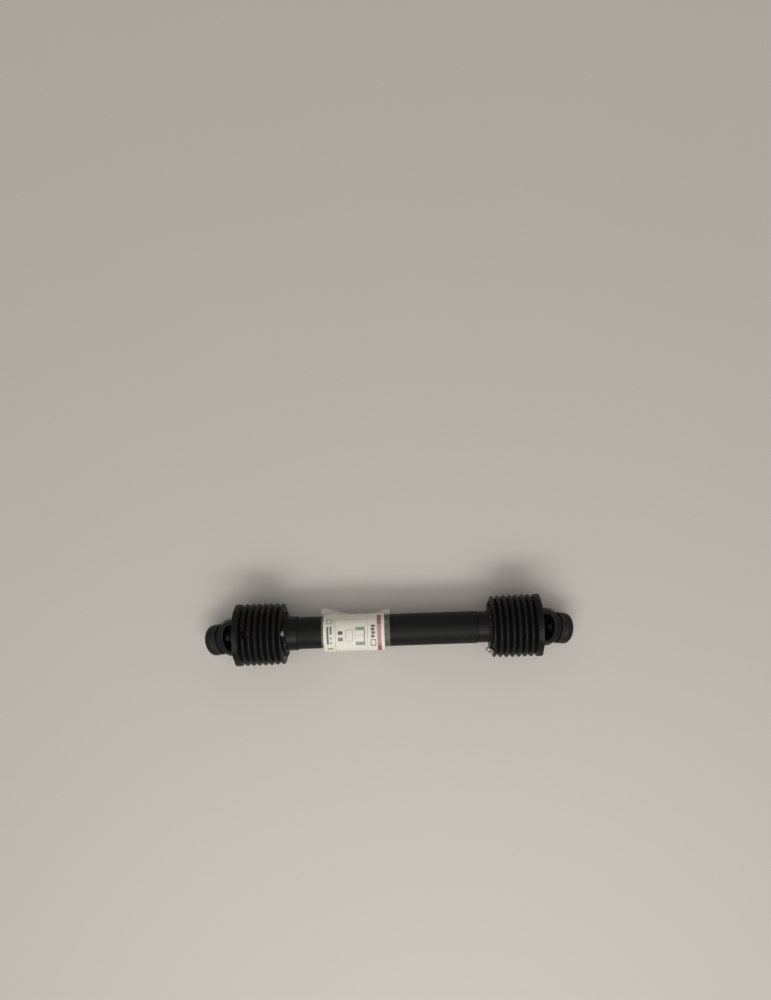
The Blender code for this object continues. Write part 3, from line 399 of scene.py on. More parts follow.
def wire(path, radius, sides, closed=False, mesh=None):
    """Sweep a round section along a path of points, into a new or a given mesh."""
    mesh = mesh or bmesh.new()
    count = len(path)
    rings = []
    across = None
    for k, point in enumerate(path):
        before = path[(k - 1) % count] if closed or k > 0 else point
        after = path[(k + 1) % count] if closed or k < count - 1 else point
        along = (after - before).normalized()
        if across is None:
            across = along.orthogonal().normalized()
        across = (across - along * across.dot(along)).normalized()
        up = along.cross(across)
        ring = []
        for side in range(sides):
            a, b = polar(radius, 2 * pi * (side + 0.5) / sides)
            ring.append(mesh.verts.new(point + across * a + up * b))
        rings.append(ring)
    for k in range(count if closed else count - 1):
        one = rings[k]
        two = rings[(k + 1) % count]
        skip = 0
        if closed and k == count - 1:
            skip = min(range(sides), key=lambda s: (two[s].co - one[0].co).length)
        for side in range(sides):
            n = (side + 1) % sides
            mesh.faces.new((one[side], one[n], two[(n + skip) % sides], two[(side + skip) % sides]))
    if not closed:
        mesh.faces.new(list(reversed(rings[0])))
        mesh.faces.new(rings[-1])
    return facing_out(mesh)


def turned(mesh, *matrices):
    for matrix in matrices:
        bmesh.ops.transform(mesh, matrix=matrix, verts=mesh.verts)
    return mesh


def upright(profile, segments):
    """Turn an (x, r) profile about Z instead of X."""
    return turned(revolve(profile, segments), quarter_turn("Y", -1))


def joined(meshes):
    first = meshes[0]
    for extra in meshes[1:]:
        data = bpy.data.meshes.new("joined")
        extra.to_mesh(data)
        extra.free()
        first.from_mesh(data)
        bpy.data.meshes.remove(data)
    return first


def linked(name, data):
    made = bpy.data.objects.new(name, data)
    bpy.context.collection.objects.link(made)
    return made


def mesh_object(name, mesh):
    """Object that takes over what the mesh holds."""
    data = bpy.data.meshes.new(name)
    mesh.to_mesh(data)
    mesh.free()
    return linked(name, data)


def result(made, *others):
    """The mesh that an object's modifiers make of it. The scratch objects go."""
    depsgraph = bpy.context.evaluated_depsgraph_get()
    data = bpy.data.meshes.new_from_object(made.evaluated_get(depsgraph))
    mesh = bmesh.new()
    mesh.from_mesh(data)
    bpy.data.meshes.remove(data)
    for old in (made, *others):
        bpy.data.objects.remove(old, do_unlink=True)
    return mesh


def combined(mesh, *steps):
    """Join, cut or cross a mesh with others, one after the other."""
    made = mesh_object("scratch", mesh)
    tools = []
    for operation, tool in steps:
        tools.append(mesh_object("scratch", tool))
        modifier = made.modifiers.new("step", "BOOLEAN")
        modifier.operation = operation
        modifier.solver = "EXACT"
        modifier.object = tools[-1]
    return result(made, *tools)


def cuts(*tools):
    return [("DIFFERENCE", tool) for tool in tools]


def forged(mesh, grain, passes):
    """Turn crisp forms into one skin with the soft edges of a forging."""
    made = mesh_object("scratch", mesh)
    skin = made.modifiers.new("skin", "REMESH")
    skin.mode = "VOXEL"
    skin.voxel_size = grain
    smooth = made.modifiers.new("smooth", "SMOOTH")
    smooth.factor = 0.5
    smooth.iterations = passes
    return result(made)


def show(name, mesh, finish, body, replaced, place, sharp=SHARP_ANGLE):
    """Make the finished piece, in its own frame, on the body that carries it."""
    material, slot = finish
    made = mesh_object(name, mesh)
    made.data.shade_smooth()
    made.data.set_sharp_from_angle(angle=radians(sharp))
    made.data.materials.append(material)
    made.matrix_world = place
    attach(made, body)
    if replaced:
        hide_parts(*replaced)
    return made


# Materials

class Nodes:
    """Builds the nodes of a world or of a procedural material, which lies on object coordinates."""

    def __init__(self, owner):
        self.owner = owner
        owner.use_nodes = True
        self.tree = owner.node_tree

    def where(self):
        return self.add("TexCoord").outputs["Object"]

    def feed(self, node, inputs):
        """Link each input to its socket, or set it to its number or colour."""
        for key, value in inputs.items():
            if isinstance(value, bpy.types.NodeSocket):
                self.tree.links.new(value, node.inputs[key])
            else:
                node.inputs[key].default_value = value

    def add(self, kind, inputs=None, **settings):
        node = self.tree.nodes.new("ShaderNode" + kind)
        for key, value in settings.items():
            setattr(node, key, value)
        self.feed(node, inputs or {})
        return node

    def noise(self, scale, detail=4.0, stretch=(1.0, 1.0, 1.0), rough=0.55):
        place = self.add("Mapping", {"Scale": stretch, "Vector": self.where()}).outputs["Vector"]
        inputs = {"Scale": scale, "Detail": detail, "Roughness": rough, "Vector": place}
        return self.add("TexNoise", inputs).outputs["Fac"]

    def ramp(self, value, low, high, start=NOISE_LOW, end=NOISE_HIGH):
        """Colour that goes from low to high as the value goes from start to end."""
        node = self.add("ValToRGB", {"Fac": value})
        for element, position, colour in zip(node.color_ramp.elements, (start, end), (low, high)):
            element.position = position
            element.color = (*colour, 1.0)
        return node.outputs["Color"]

    def mask(self, value, start, end, low=0.0, high=1.0):
        inputs = {"Value": value, "From Min": start, "From Max": end, "To Min": low, "To Max": high}
        return self.add("MapRange", inputs).outputs["Result"]

    def range(self, value, low, high):
        return self.mask(value, NOISE_LOW, NOISE_HIGH, low, high)

    def times(self, one, two):
        return self.add("Math", {0: one, 1: two}, operation="MULTIPLY").outputs["Value"]

    def mix(self, share, one, two):
        """Socket one where the share is 0 and colour two where it is 1."""
        inputs = {"Factor": share, "A": one, "B": (*two, 1.0)}
        return self.add("Mix", inputs, data_type="RGBA").outputs["Result"]

    def bump(self, height, distance, strength, after=None):
        inputs = {"Distance": distance, "Strength": strength, "Height": height}
        if after is not None:
            inputs["Normal"] = after
        return self.add("Bump", inputs).outputs["Normal"]

    def edges(self, start, end):
        """1 on convex edges, 0 elsewhere."""
        return self.mask(self.add("NewGeometry").outputs["Pointiness"], start, end)

    def finish(self, colour, roughness, normal=None, metallic=0.0, **more):
        """Feed the shader. More names further inputs, with _ for each space."""
        inputs = {"Base Color": colour, "Roughness": roughness, "Metallic": metallic}
        if normal is not None:
            inputs["Normal"] = normal
        inputs.update({key.replace("_", " "): value for key, value in more.items()})
        self.feed(self.tree.nodes["Principled BSDF"], inputs)
        return self.owner


def surface(name):
    return Nodes(bpy.data.materials.new(name))


def moulded_plastic(name, dark, light, roughness, streak=(1.0, 1.0, 1.0)):
    """Black guard plastic: faint cloudiness, fine mould grain, pale dust and scuffs."""
    n = surface(name)
    scuff = n.noise(160.0, 8.0, (6.0, 1.0, 1.0), 0.7)
    dust = n.times(n.mask(n.noise(60.0, 9.0, rough=0.75), 0.55, 0.78), n.mask(scuff, 0.45, 0.75))
    pale = tuple(value * 2.4 + 0.006 for value in light)
    colour = n.mix(dust, n.ramp(n.noise(22.0, 5.0, streak), dark, light), pale)
    rough = n.range(scuff, roughness - 0.07, roughness + 0.10)
    normal = n.bump(n.noise(2600.0, 2.0), 0.05 * MM, 0.35, n.bump(n.noise(120.0, 3.0), 0.12 * MM, 0.5))
    return n.finish(colour, rough, normal, Specular_IOR_Level=PLASTIC_SPECULAR)


def painted_forging(name, dark, light, worn):
    """Black paint over a forged surface, worn to brown metal on edges."""
    n = surface(name)
    cloud = n.noise(45.0, 6.0)
    pits = n.noise(420.0, 4.0, rough=0.65)
    blotch = n.noise(110.0, 8.0, rough=0.7)
    wear = n.times(n.edges(0.52, 0.60), n.mask(blotch, 0.42, 0.62))
    colour = n.mix(wear, n.ramp(cloud, dark, light), worn)
    colour = n.mix(n.mask(blotch, 0.66, 0.72), colour, tuple(value * 0.6 for value in worn))
    normal = n.bump(pits, 0.12 * MM, 0.6, n.bump(cloud, 0.5 * MM, 0.4))
    return n.finish(colour, n.range(pits, 0.28, 0.50), normal, 0.15, Specular_IOR_Level=PAINT_SPECULAR)


def machined_steel(name, dark, light, roughness):
    """Bare steel with turning marks round its own axis and a little oil."""
    n = surface(name)
    cloud = n.noise(70.0, 6.0)
    inputs = {"Scale": TURNING_MARKS, "Distortion": 1.5, "Vector": n.where()}
    wave = n.add("TexWave", inputs, wave_type="BANDS", bands_direction="X").outputs["Fac"]
    rough = n.range(cloud, roughness - 0.08, roughness + 0.12)
    return n.finish(n.ramp(cloud, dark, light), rough, n.bump(wave, 0.01 * MM, 0.5), 1.0)


def blackened_chain(name):
    """Dark chain steel: brown film in blotches, with scattered bright patches that are a painted shine."""
    n = surface(name)
    blotch = n.noise(260.0, 6.0, rough=0.7)
    brown = n.ramp(blotch, (0.008, 0.008, 0.0075), (0.038, 0.034, 0.030))
    # Scattered bright patches over the links: painted shine.
    colour = n.mix(n.mask(n.noise(95.0, 4.0), 0.58, 0.68), brown, (0.22, 0.21, 0.20))
    return n.finish(colour, n.range(blotch, 0.25, 0.5), n.bump(blotch, 0.05 * MM, 0.4), 0.85)


def nylon(name):
    n = surface(name)
    cloud = n.noise(40.0, 4.0)
    colour = n.ramp(cloud, (0.55, 0.53, 0.44), (0.66, 0.64, 0.55))
    normal = n.bump(n.noise(900.0), 0.03 * MM, 0.4)
    rough = n.range(cloud, 0.42, 0.55)
    return n.finish(colour, rough, normal, Subsurface_Weight=0.1, Subsurface_Scale=2.0 * MM)


def zinc(name):
    n = surface(name)
    crystals = n.noise(520.0, 3.0)
    colour = n.ramp(crystals, (0.24, 0.29, 0.265), (0.38, 0.44, 0.40))
    return n.finish(colour, n.range(crystals, 0.3, 0.5), n.bump(crystals, 0.02 * MM, 0.5), 0.7)


def paper(name):
    """Warm white paper with fibre, faint folds and a yellowed middle."""
    n = surface(name)
    fibre = n.noise(1500.0, 4.0, rough=0.7)
    crease = n.noise(30.0, 5.0, (1.0, 2.5, 2.5))
    base = n.ramp(fibre, (0.80, 0.78, 0.70), (0.86, 0.84, 0.77))
    colour = n.mix(n.mask(n.noise(14.0, 3.0), 0.50, 0.66), base, (0.78, 0.74, 0.56))
    normal = n.bump(fibre, 0.02 * MM, 0.5, n.bump(crease, 0.6 * MM, 0.35))
    return n.finish(colour, n.range(fibre, 0.6, 0.8), normal)


def ink(name, colour):
    """Printed colour, slightly uneven, with the paper's slot."""
    n = surface("label_" + name + "_ink")
    patchy = n.noise(700.0, 3.0)
    faded = tuple(0.88 * value + 0.12 * 0.6 for value in colour)
    return n.finish(n.ramp(patchy, colour, faded, 0.45, 0.75), n.range(patchy, 0.5, 0.65)), "label_paper"


def clear_film(name):
    """Clear adhesive film: mostly see-through, milky and glossy, with faint wrinkles."""
    n = surface(name)
    wrinkles = n.noise(38.0, 5.0, (1.0, 2.0, 2.0))
    colour = n.ramp(wrinkles, (0.62, 0.60, 0.52), (0.80, 0.78, 0.70))
    return n.finish(colour, 0.22, n.bump(wrinkles, 0.8 * MM, 0.6), Alpha=n.range(wrinkles, 0.03, 0.13))


def plain_floor(name, colour):
    """Pale, slightly mottled floor."""
    n = surface(name)
    mottle = n.noise(3.0, 4.0)
    low = tuple(value * 0.985 for value in colour)
    return n.finish(n.ramp(mottle, low, colour), n.range(mottle, 0.85, 0.95))


# Finishes: a material and the record's slot that it stands for

PLASTIC = (moulded_plastic(
    "black_guard_plastic", (0.0028, 0.0031, 0.0031), (0.0052, 0.0056, 0.0054), 0.37), "guard_plastic")
TUBE_PLASTIC = (moulded_plastic(
    "black_tube_plastic", (0.0038, 0.0040, 0.0039), (0.0062, 0.0066, 0.0063), 0.48, (0.15, 1.0, 1.0)),
    "tube_plastic")
FORGING = (painted_forging(
    "painted_forging", (0.0034, 0.0036, 0.0036), (0.0075, 0.0074, 0.0070), (0.030, 0.025, 0.020)),
    "yoke_paint")
COLLAR = (painted_forging(
    "collar_paint", (0.0050, 0.0045, 0.0038), (0.0130, 0.0115, 0.0095), (0.036, 0.027, 0.020)),
    "collar_paint")
BARE = (machined_steel("bare_steel", (0.30, 0.30, 0.29), (0.46, 0.46, 0.45), 0.34), "bare_steel")
GROUND = (machined_steel("bearing_steel", (0.46, 0.46, 0.45), (0.62, 0.62, 0.61), 0.22), "bearing_steel")
PHOSPHATE = (machined_steel(
    "phosphated_steel", (0.016, 0.016, 0.015), (0.040, 0.039, 0.036), 0.36), "bare_steel")
GREASED = (machined_steel(
    "greased_steel", (0.10, 0.095, 0.085), (0.22, 0.21, 0.19), 0.30), "greased_steel")
BLACK_GREASE = (machined_steel(
    "black_grease_steel", (0.010, 0.0095, 0.0085), (0.034, 0.032, 0.029), 0.34), "greased_steel")
CHAIN = (blackened_chain("blackened_chain"), "chain_steel")
NYLON = (nylon("natural_nylon"), "bearing_nylon")
ZINC = (zinc("zinc_plate"), "screw_steel")
PAPER = (paper("label_paper"), "label_paper")
FILM = (clear_film("label_film"), "label_film")
FRAME_INK = ink("frame", (0.26, 0.19, 0.12))
RED_INK = ink("red", (0.27, 0.028, 0.030))
PALE_RED_INK = ink("pale_red", (0.46, 0.19, 0.16))
GREY_INK = ink("grey", (0.25, 0.265, 0.25))
BLACK_INK = ink("black", (0.012, 0.013, 0.013))


# Frames of the two ends

def end_place(side):
    """Frame of the cross centre, +x outward."""
    facing = 0.0 if side == "right" else pi
    return shift(SIDES[side] * JOINT_X, 0.0, AXIS_HEIGHT) @ rotation("Z", facing)


def cross_place(side):
    """Frame of the cross at rest, turned sideways with the outer yoke."""
    return end_place(side) @ rotation("Z", -SIDES[side] * REST_BEND)


def rest_droop():
    """How far an outer yoke hangs down, with a small gap between its collar and the floor."""
    edge_x = COLLAR_END - COLLAR_EDGE
    edge_radius = COLLAR_RADIUS - COLLAR_EDGE
    height = AXIS_HEIGHT - COLLAR_EDGE - FLOOR_GAP
    return asin(height / hypot(edge_x, edge_radius)) - atan2(edge_radius, edge_x)


def bent_place(side):
    """Frame of the outer yoke at rest, which hangs down until its collar nearly meets the floor."""
    return cross_place(side) @ rotation("Y", rest_droop())


def carriers(side):
    """Body and rest frame of each thing that carries pieces at one end."""
    half = "outer_" if side == "left" else "inner_"
    return {
        "guard": (half + "guard", end_place(side)),
        "drive": (half + "drive", end_place(side)),
        "cross": (side + "_cross_body", cross_place(side)),
        "fork": (side + "_outer_fork", bent_place(side)),
        "collar": (side + "_collar_body", bent_place(side)),
    }


def fit(side, carrier, name, node, mesh, finish, sharp=SHARP_ANGLE, seat=None):
    """Show a piece of one end on its carrier, in the carrier's rest frame or at a seat in it."""
    body, place = carriers(side)[carrier]
    if seat is not None:
        place = place @ seat
    return show(side + "_" + name, mesh, finish, body, [side + "_" + node] if node else (), place, sharp)


def radial(angle, side):
    """Turn a shape built along +z so that it points the given angle from the top, toward +Y."""
    return rotation("X", -angle * SIDES[side])


# Guard cone

def rib_crest(number):
    """Radius of a rib: the last two are slightly smaller."""
    return RIB_RADIUS - LAST_RIB_DROP * max(0, number - RIB_COUNT + 3) / 2


def rib_radius(inboard):
    """Outside radius at a distance inboard of the cross centre: round crests and sharp valleys."""
    position = (inboard - FIRST_RIB) / RIB_PITCH
    number = min(max(round(position), 0), RIB_COUNT - 1)
    share = position - number
    return rib_crest(number) - RIB_DEPTH * (1.0 - cos(pi * share)) ** RIB_SHARPNESS


def rib_line(steps, wall):
    """Section over all ribs, in a number of steps for each, a wall's thickness below the outside."""
    places = [FIRST_RIB + RIB_PITCH * step / steps for step in range(steps * (RIB_COUNT - 1) + 1)]
    return [(place, rib_radius(place) - wall) for place in places]


def cone_profile(side):
    """Closed section of the bell, from the mouth over the ribs to the ledge and back inside."""
    band = RIB_RADIUS - PAD_HEIGHT
    hole = sleeve_outside(side) + CLEARANCE
    last = rib_crest(RIB_COUNT - 1)
    inner_back = CONE_BACK - CONE_WALL
    outside = [(-MOUTH_REACH, band), (MOUTH_BAND_END, band), (FIRST_RIB - 2.0 * MM, RIB_RADIUS - 0.3 * MM)]
    outside += rib_line(10, 0.0)
    outside += [
        (CONE_BACK - 1.2 * MM, last - 0.4 * MM), (CONE_BACK, last - 2.0 * MM),
        (CONE_BACK, LEDGE_RADIUS + LEDGE_FILLET), (CONE_BACK + LEDGE_FILLET, LEDGE_RADIUS),
        (CONE_END - LEDGE_EDGE, LEDGE_RADIUS), (CONE_END, LEDGE_RADIUS - LEDGE_EDGE), (CONE_END, hole),
    ]
    inside = [(-MOUTH_REACH, band - CONE_WALL), (FIRST_RIB - 3.0 * MM, RIB_RADIUS - CONE_WALL)]
    inside += rib_line(6, CONE_WALL)
    inside += [
        (inner_back, last - 2 * CONE_WALL), (inner_back, LEDGE_RADIUS - CONE_WALL),
        (CONE_END - CONE_WALL, LEDGE_RADIUS - CONE_WALL), (CONE_END - CONE_WALL, hole),
    ]
    return [(-v, r) for v, r in outside + list(reversed(inside))]


def raise_pads(mesh, turn):
    """Lift the pads on the mouth's band and draw in their edges."""
    pitch = 2 * pi / PAD_COUNT
    width = pitch * PAD_SHARE
    chosen = []
    for face in mesh.faces:
        centre = face.calc_center_median()
        outward = face.normal.dot(Vector((0.0, centre.y, centre.z)).normalized())
        angle = (atan2(centre.z, centre.y) - turn) % pitch
        if centre.x > -MOUTH_BAND_END and outward > 0.99 and angle < width:
            chosen.append(face)
    lifted = bmesh.ops.extrude_face_region(mesh, geom=chosen)
    for item in lifted["geom"]:
        if isinstance(item, bmesh.types.BMVert):
            out = Vector((0.0, item.co.y, item.co.z)).normalized()
            angle = (atan2(item.co.z, item.co.y) - turn + 0.01) % pitch
            from_end = min(angle, width - angle) * RIB_RADIUS
            share = min(1.0, PAD_END_SHARE + (1.0 - PAD_END_SHARE) * from_end / PAD_RAMP)
            item.co += out * PAD_HEIGHT * share
    bmesh.ops.delete(mesh, geom=chosen, context="FACES")
    facing_out(mesh)


def sleeve_radius(side):
    return OUTER_GUARD_RADIUS if side == "left" else INNER_GUARD_RADIUS


def sleeve_outside(side):
    return sleeve_radius(side) + CLEARANCE + SLEEVE_WALL[side]


def screw_places(side):
    """Frames of the guard screws: local +z leaves the seat at a slant, outward and inboard."""
    seat = shift(-(CONE_BACK + SCREW_SEAT_OFFSET), 0.0, SCREW_SEAT_RADIUS)
    slant = rotation("Y", -SCREW_SLANT)
    return [radial(SCREW_TURN[side] + turn, side) @ seat @ slant for turn in (0.0, pi)]


def screw_holes(side):
    drill = rod(-SCREW_DRILL, CUT_PAST, SCREW_RADIUS + CLEARANCE)
    return cuts(*[turned(upright(drill, 16), seat) for seat in screw_places(side)])


def make_guard_cone(side):
    start = -pi / 2 + pi / 27 - PAD_TURN * SIDES[side]
    bell = revolve(cone_profile(side), CONE_SEGMENTS, start)
    raise_pads(bell, start)
    drill = upright(rod(RIB_RADIUS * 0.7, RIB_RADIUS * 1.2, GREASE_HOLE_RADIUS), 48)
    drill = turned(drill, radial(GREASE_HOLE_ANGLE[side], side), shift(-GREASE_HOLE_INBOARD))
    low, high = -SCREW_BOSS_DEPTH, SCREW_BOSS_RADIUS
    boss = [(low, 0.0), (low, high), (-SCREW_BOSS_EDGE, high), (0.0, high - SCREW_BOSS_EDGE), (0.0, 0.0)]
    bosses = [("UNION", turned(upright(boss, 32), seat)) for seat in screw_places(side)]
    cone = combined(bell, *cuts(drill), *bosses, *screw_holes(side))
    fit(side, "guard", "cone_skin", "guard_cone", cone, PLASTIC)


def make_guard_base(side):
    """Bearing seat, lip, screw flange, step for the tube's end and sleeve."""
    bore = sleeve_radius(side) + CLEARANCE
    outside = sleeve_outside(side)
    seat = NECK_RADIUS + CLEARANCE + BEARING_THICKNESS + CLEARANCE
    rim = seat + 3.5 * MM
    lip = NECK_RADIUS + 0.5 * MM
    bearing_back = BEARING_END + BEARING_FLANGE + CLEARANCE
    bearing_front = BEARING_END - BEARING_WIDTH - BEARING_FLANGE
    step = sleeve_radius(side) - GUARD_WALL
    end = TUBE_SEAT + SLEEVE_LENGTH[side]
    flange_front = FLANGE_BACK - FLANGE_THICKNESS
    profile = [
        (bearing_front, seat), (bearing_back, seat), (bearing_back, lip), (FLANGE_BACK - 1.0 * MM, lip),
        (FLANGE_BACK + 0.5 * MM, step), (TUBE_SEAT - CLEARANCE, step), (TUBE_SEAT - CLEARANCE, bore),
        (end, bore), (end, outside), (FLANGE_BACK, outside), (FLANGE_BACK, FLANGE_RADIUS),
        (flange_front, FLANGE_RADIUS), (flange_front, rim), (bearing_front, rim),
    ]
    base = revolve(softened([(-v, r) for v, r in profile], 0.6 * MM), GUARD_SEGMENTS)
    base = combined(base, *screw_holes(side))
    fit(side, "guard", "base_skin", "guard_base", base, PLASTIC)


def make_bearing_ring(side):
    """Split ring, with a foot in the neck's groove."""
    start = BEARING_END - BEARING_WIDTH + CLEARANCE
    end = BEARING_END - CLEARANCE
    foot = NECK_RADIUS - NECK_GROOVE + CLEARANCE
    low = NECK_RADIUS + CLEARANCE
    high = low + BEARING_THICKNESS
    wide_start, wide_end = start - BEARING_FLANGE, end + BEARING_FLANGE
    profile = [(start, foot), (end, foot), (end, low), (wide_end, low), (wide_end, high)]
    profile += [(wide_start, high), (wide_start, low), (start, low)]
    ring = split_ring([(-v, r) for v, r in profile], 0.3 * MM, 90, BEARING_SPLIT)
    fit(side, "guard", "bearing_skin", "bearing_ring", ring, NYLON)


def split_ring(profile, edge, segments, gap):
    return revolve(softened(profile, edge, 2), segments, gap / 2, 2 * pi - gap)


def make_guard_screws(side):
    """Pan-head screws with a cross recess."""
    head = SCREW_HEAD_RADIUS
    top = SCREW_HEAD_HEIGHT
    profile = [(-SCREW_LENGTH, 0.0), (-SCREW_LENGTH, SCREW_RADIUS * 0.6)]
    profile += [(-SCREW_LENGTH + 1.5 * MM, SCREW_RADIUS), (CLEARANCE, SCREW_RADIUS), (CLEARANCE, head)]
    profile += arc((top * 0.35, 0.0), (top * 0.65, head), pi / 2, 0.0, 8)[:-1]
    profile += [(top, 0.0)]
    slot = [(a * SCREW_SLOT_REACH, b * SCREW_SLOT_HALF) for a, b in ((-1, -1), (1, -1), (1, 1), (-1, 1))]
    for number, seat in enumerate(screw_places(side), start=1):
        wings = []
        for turn in (0.3, 0.3 + pi / 2):
            wings.append(turned(prism(slot, "z", top - 1.6 * MM, top + 2.0 * MM), rotation("Z", turn)))
        screw = combined(upright(profile, 40), *cuts(*wings))
        fit(side, "guard", f"screw_{number}", f"guard_screw_{number}", screw, ZINC, seat=seat)


# Chain and hook

def link_path(length, width):
    """Stadium-shaped path of one chain link, in the x-y plane, long along y."""
    turn = width / 2
    straight = length / 2 - turn
    path = arc((0.0, straight), turn, 0.0, pi, 10)
    path += [(turn * -1.0, straight * k) for k in (0.5, 0.0, -0.5)]
    path += arc((0.0, -straight), turn, pi, 2 * pi, 10)
    path += [(turn, straight * k) for k in (-0.5, 0.0, 0.5)]
    return path


def make_chain(side):
    """Chain round the ledge: links lean left and right in turn, each a little differently."""
    shuffle = random.Random(3)
    wire_width = 2 * CHAIN_WIRE_RADIUS
    pitch = 2 * CHAIN_LIFT * tan(pi / CHAIN_LINKS)
    path = link_path(pitch + wire_width - CHAIN_BITE, CHAIN_LINK_WIDTH - wire_width)
    chain = bmesh.new()
    for number in range(CHAIN_LINKS):
        lean = LINK_LEAN if number % 2 else -LINK_LEAN
        if number != HOOK_LINK[side]:
            lean += radians(shuffle.uniform(-5.0, 5.0))
        turn = rotation("X", 2 * pi * number / CHAIN_LINKS)
        link = turn @ shift(-CHAIN_PLACE, 0.0, CHAIN_LIFT) @ rotation("Y", lean)
        wire([link @ Vector((x, y, 0.0)) for x, y in path], CHAIN_WIRE_RADIUS, 12, True, chain)
    fit(side, "guard", "chain_links", "chain", chain, CHAIN, ROUND_ANGLE)


def make_chain_hook(side):
    """Open ring hook through one of the odd links, which lean outward."""
    away = Vector((-sin(LINK_LEAN), 0.0, cos(LINK_LEAN)))
    across = away.cross(Vector((0.0, 1.0, 0.0)))
    centre = Vector((-CHAIN_PLACE, 0.0, CHAIN_LIFT)) + away * HOOK_RADIUS
    half = HOOK_OPENING / 2
    path = []
    for step in range(HOOK_STEPS + 1):
        a, b = polar(HOOK_RADIUS, half + (2 * pi - HOOK_OPENING) * step / HOOK_STEPS)
        path.append(centre + away * a + across * b)
    turn = rotation("X", 2 * pi * HOOK_LINK[side] / CHAIN_LINKS)
    hook = turned(wire(path, HOOK_WIRE_RADIUS, 14), turn)
    fit(side, "guard", "hook_ring", "chain_hook", hook, CHAIN, ROUND_ANGLE)


# Yokes

def fork_side(shoulder_start, shoulder_radius, shoulder_end, crotch_end):
    """Outline of a fork seen across its ears: cheeks, round shoulders and the U between them."""
    upper = [(-EAR_BOSS_RADIUS, EAR_INNER), (-EAR_BOSS_RADIUS, EAR_OUTER)]
    upper += shoulder_arc(shoulder_start, shoulder_radius, EAR_OUTER)
    upper += [(shoulder_end, shoulder_radius)]
    lower = [(x, -y) for x, y in reversed(upper)]
    crotch = (crotch_end - CROTCH_START, EAR_INNER)
    return upper + lower + arc((CROTCH_START, 0.0), crotch, -pi / 2, pi / 2, 32)


def shoulder_arc(start, radius, cheek):
    """Curve from the end of a cheek down to the shoulder."""
    return arc((CHEEK_LENGTH, radius), (start - CHEEK_LENGTH, cheek - radius), pi / 2, 0.0, 16)


def fork_face(shoulder_start, shoulder_radius, shoulder_end):
    """Outline of a fork seen along its bearing axis: round boss that widens into the neck."""
    boss = arc((0.0, 0.0), EAR_BOSS_RADIUS, radians(97), radians(263), 36)
    neck = shoulder_radius + 0.5 * MM
    lower = [(CROTCH_START, -neck * 0.86), (shoulder_start, -neck), (shoulder_end + 1.0 * MM, -neck)]
    upper = [(x, -z) for x, z in reversed(lower)]
    return boss + lower + upper


def fork_round(shoulder_start, shoulder_radius, shoulder_end):
    """Turned envelope that rounds the corners of the ears."""
    back = -EAR_BOSS_RADIUS - 1.0 * MM
    profile = [(back, 0.0), (back, EAR_CORNER_RADIUS)]
    profile += shoulder_arc(shoulder_start, shoulder_radius, EAR_CORNER_RADIUS)
    profile += [(shoulder_end, shoulder_radius), (shoulder_end, 0.0)]
    return revolve(profile, HUB_SEGMENTS)


def cup_bores():
    """Both bearing bores on the Y axis, with the grooves of their circlips."""
    bore = CUP_RADIUS + CLEARANCE
    groove = CIRCLIP_RADIUS + 2 * CLEARANCE
    end = CUP_REACH + CIRCLIP_THICKNESS + 2 * CLEARANCE
    far = EAR_OUTER + CUT_PAST
    half = [(CUP_REACH, bore), (CUP_REACH, groove), (end, groove), (end, bore), (far, bore), (far, 0.0)]
    mirrored = [(-x, r) for x, r in reversed(half)]
    return turned(revolve(mirrored + half, BORE_SEGMENTS), quarter_turn("Z"))


def fork_mesh(shoulder, crotch_end):
    """Crisp fork: the crossing of its two outlines and its round envelope."""
    width = EAR_OUTER + 1.0 * MM
    side_view = prism(fork_side(*shoulder, crotch_end), "z", -width, width)
    face_view = prism(fork_face(*shoulder), "y", -width, width)
    return combined(side_view, ("INTERSECT", face_view), ("INTERSECT", fork_round(*shoulder)))


def spline_outline():
    """Section of the splined bore: a slot for each tooth of the tractor's shaft."""
    outline = []
    half_slot = SPLINE_SLOT_WIDTH / 2
    root = asin(half_slot / SPLINE_MINOR_RADIUS)
    tip = asin(half_slot / SPLINE_MAJOR_RADIUS)
    pitch = 2 * pi / SPLINE_COUNT
    for tooth in range(SPLINE_COUNT):
        middle = pitch * (tooth + 0.5)
        outline += arc((0.0, 0.0), SPLINE_MAJOR_RADIUS, middle - tip, middle + tip, 6)
        outline += arc((0.0, 0.0), SPLINE_MINOR_RADIUS, middle + root, middle + pitch - root, 6)
    return outline


def ball_angle(number):
    return pi / 2 + 2 * pi * number / BALL_COUNT


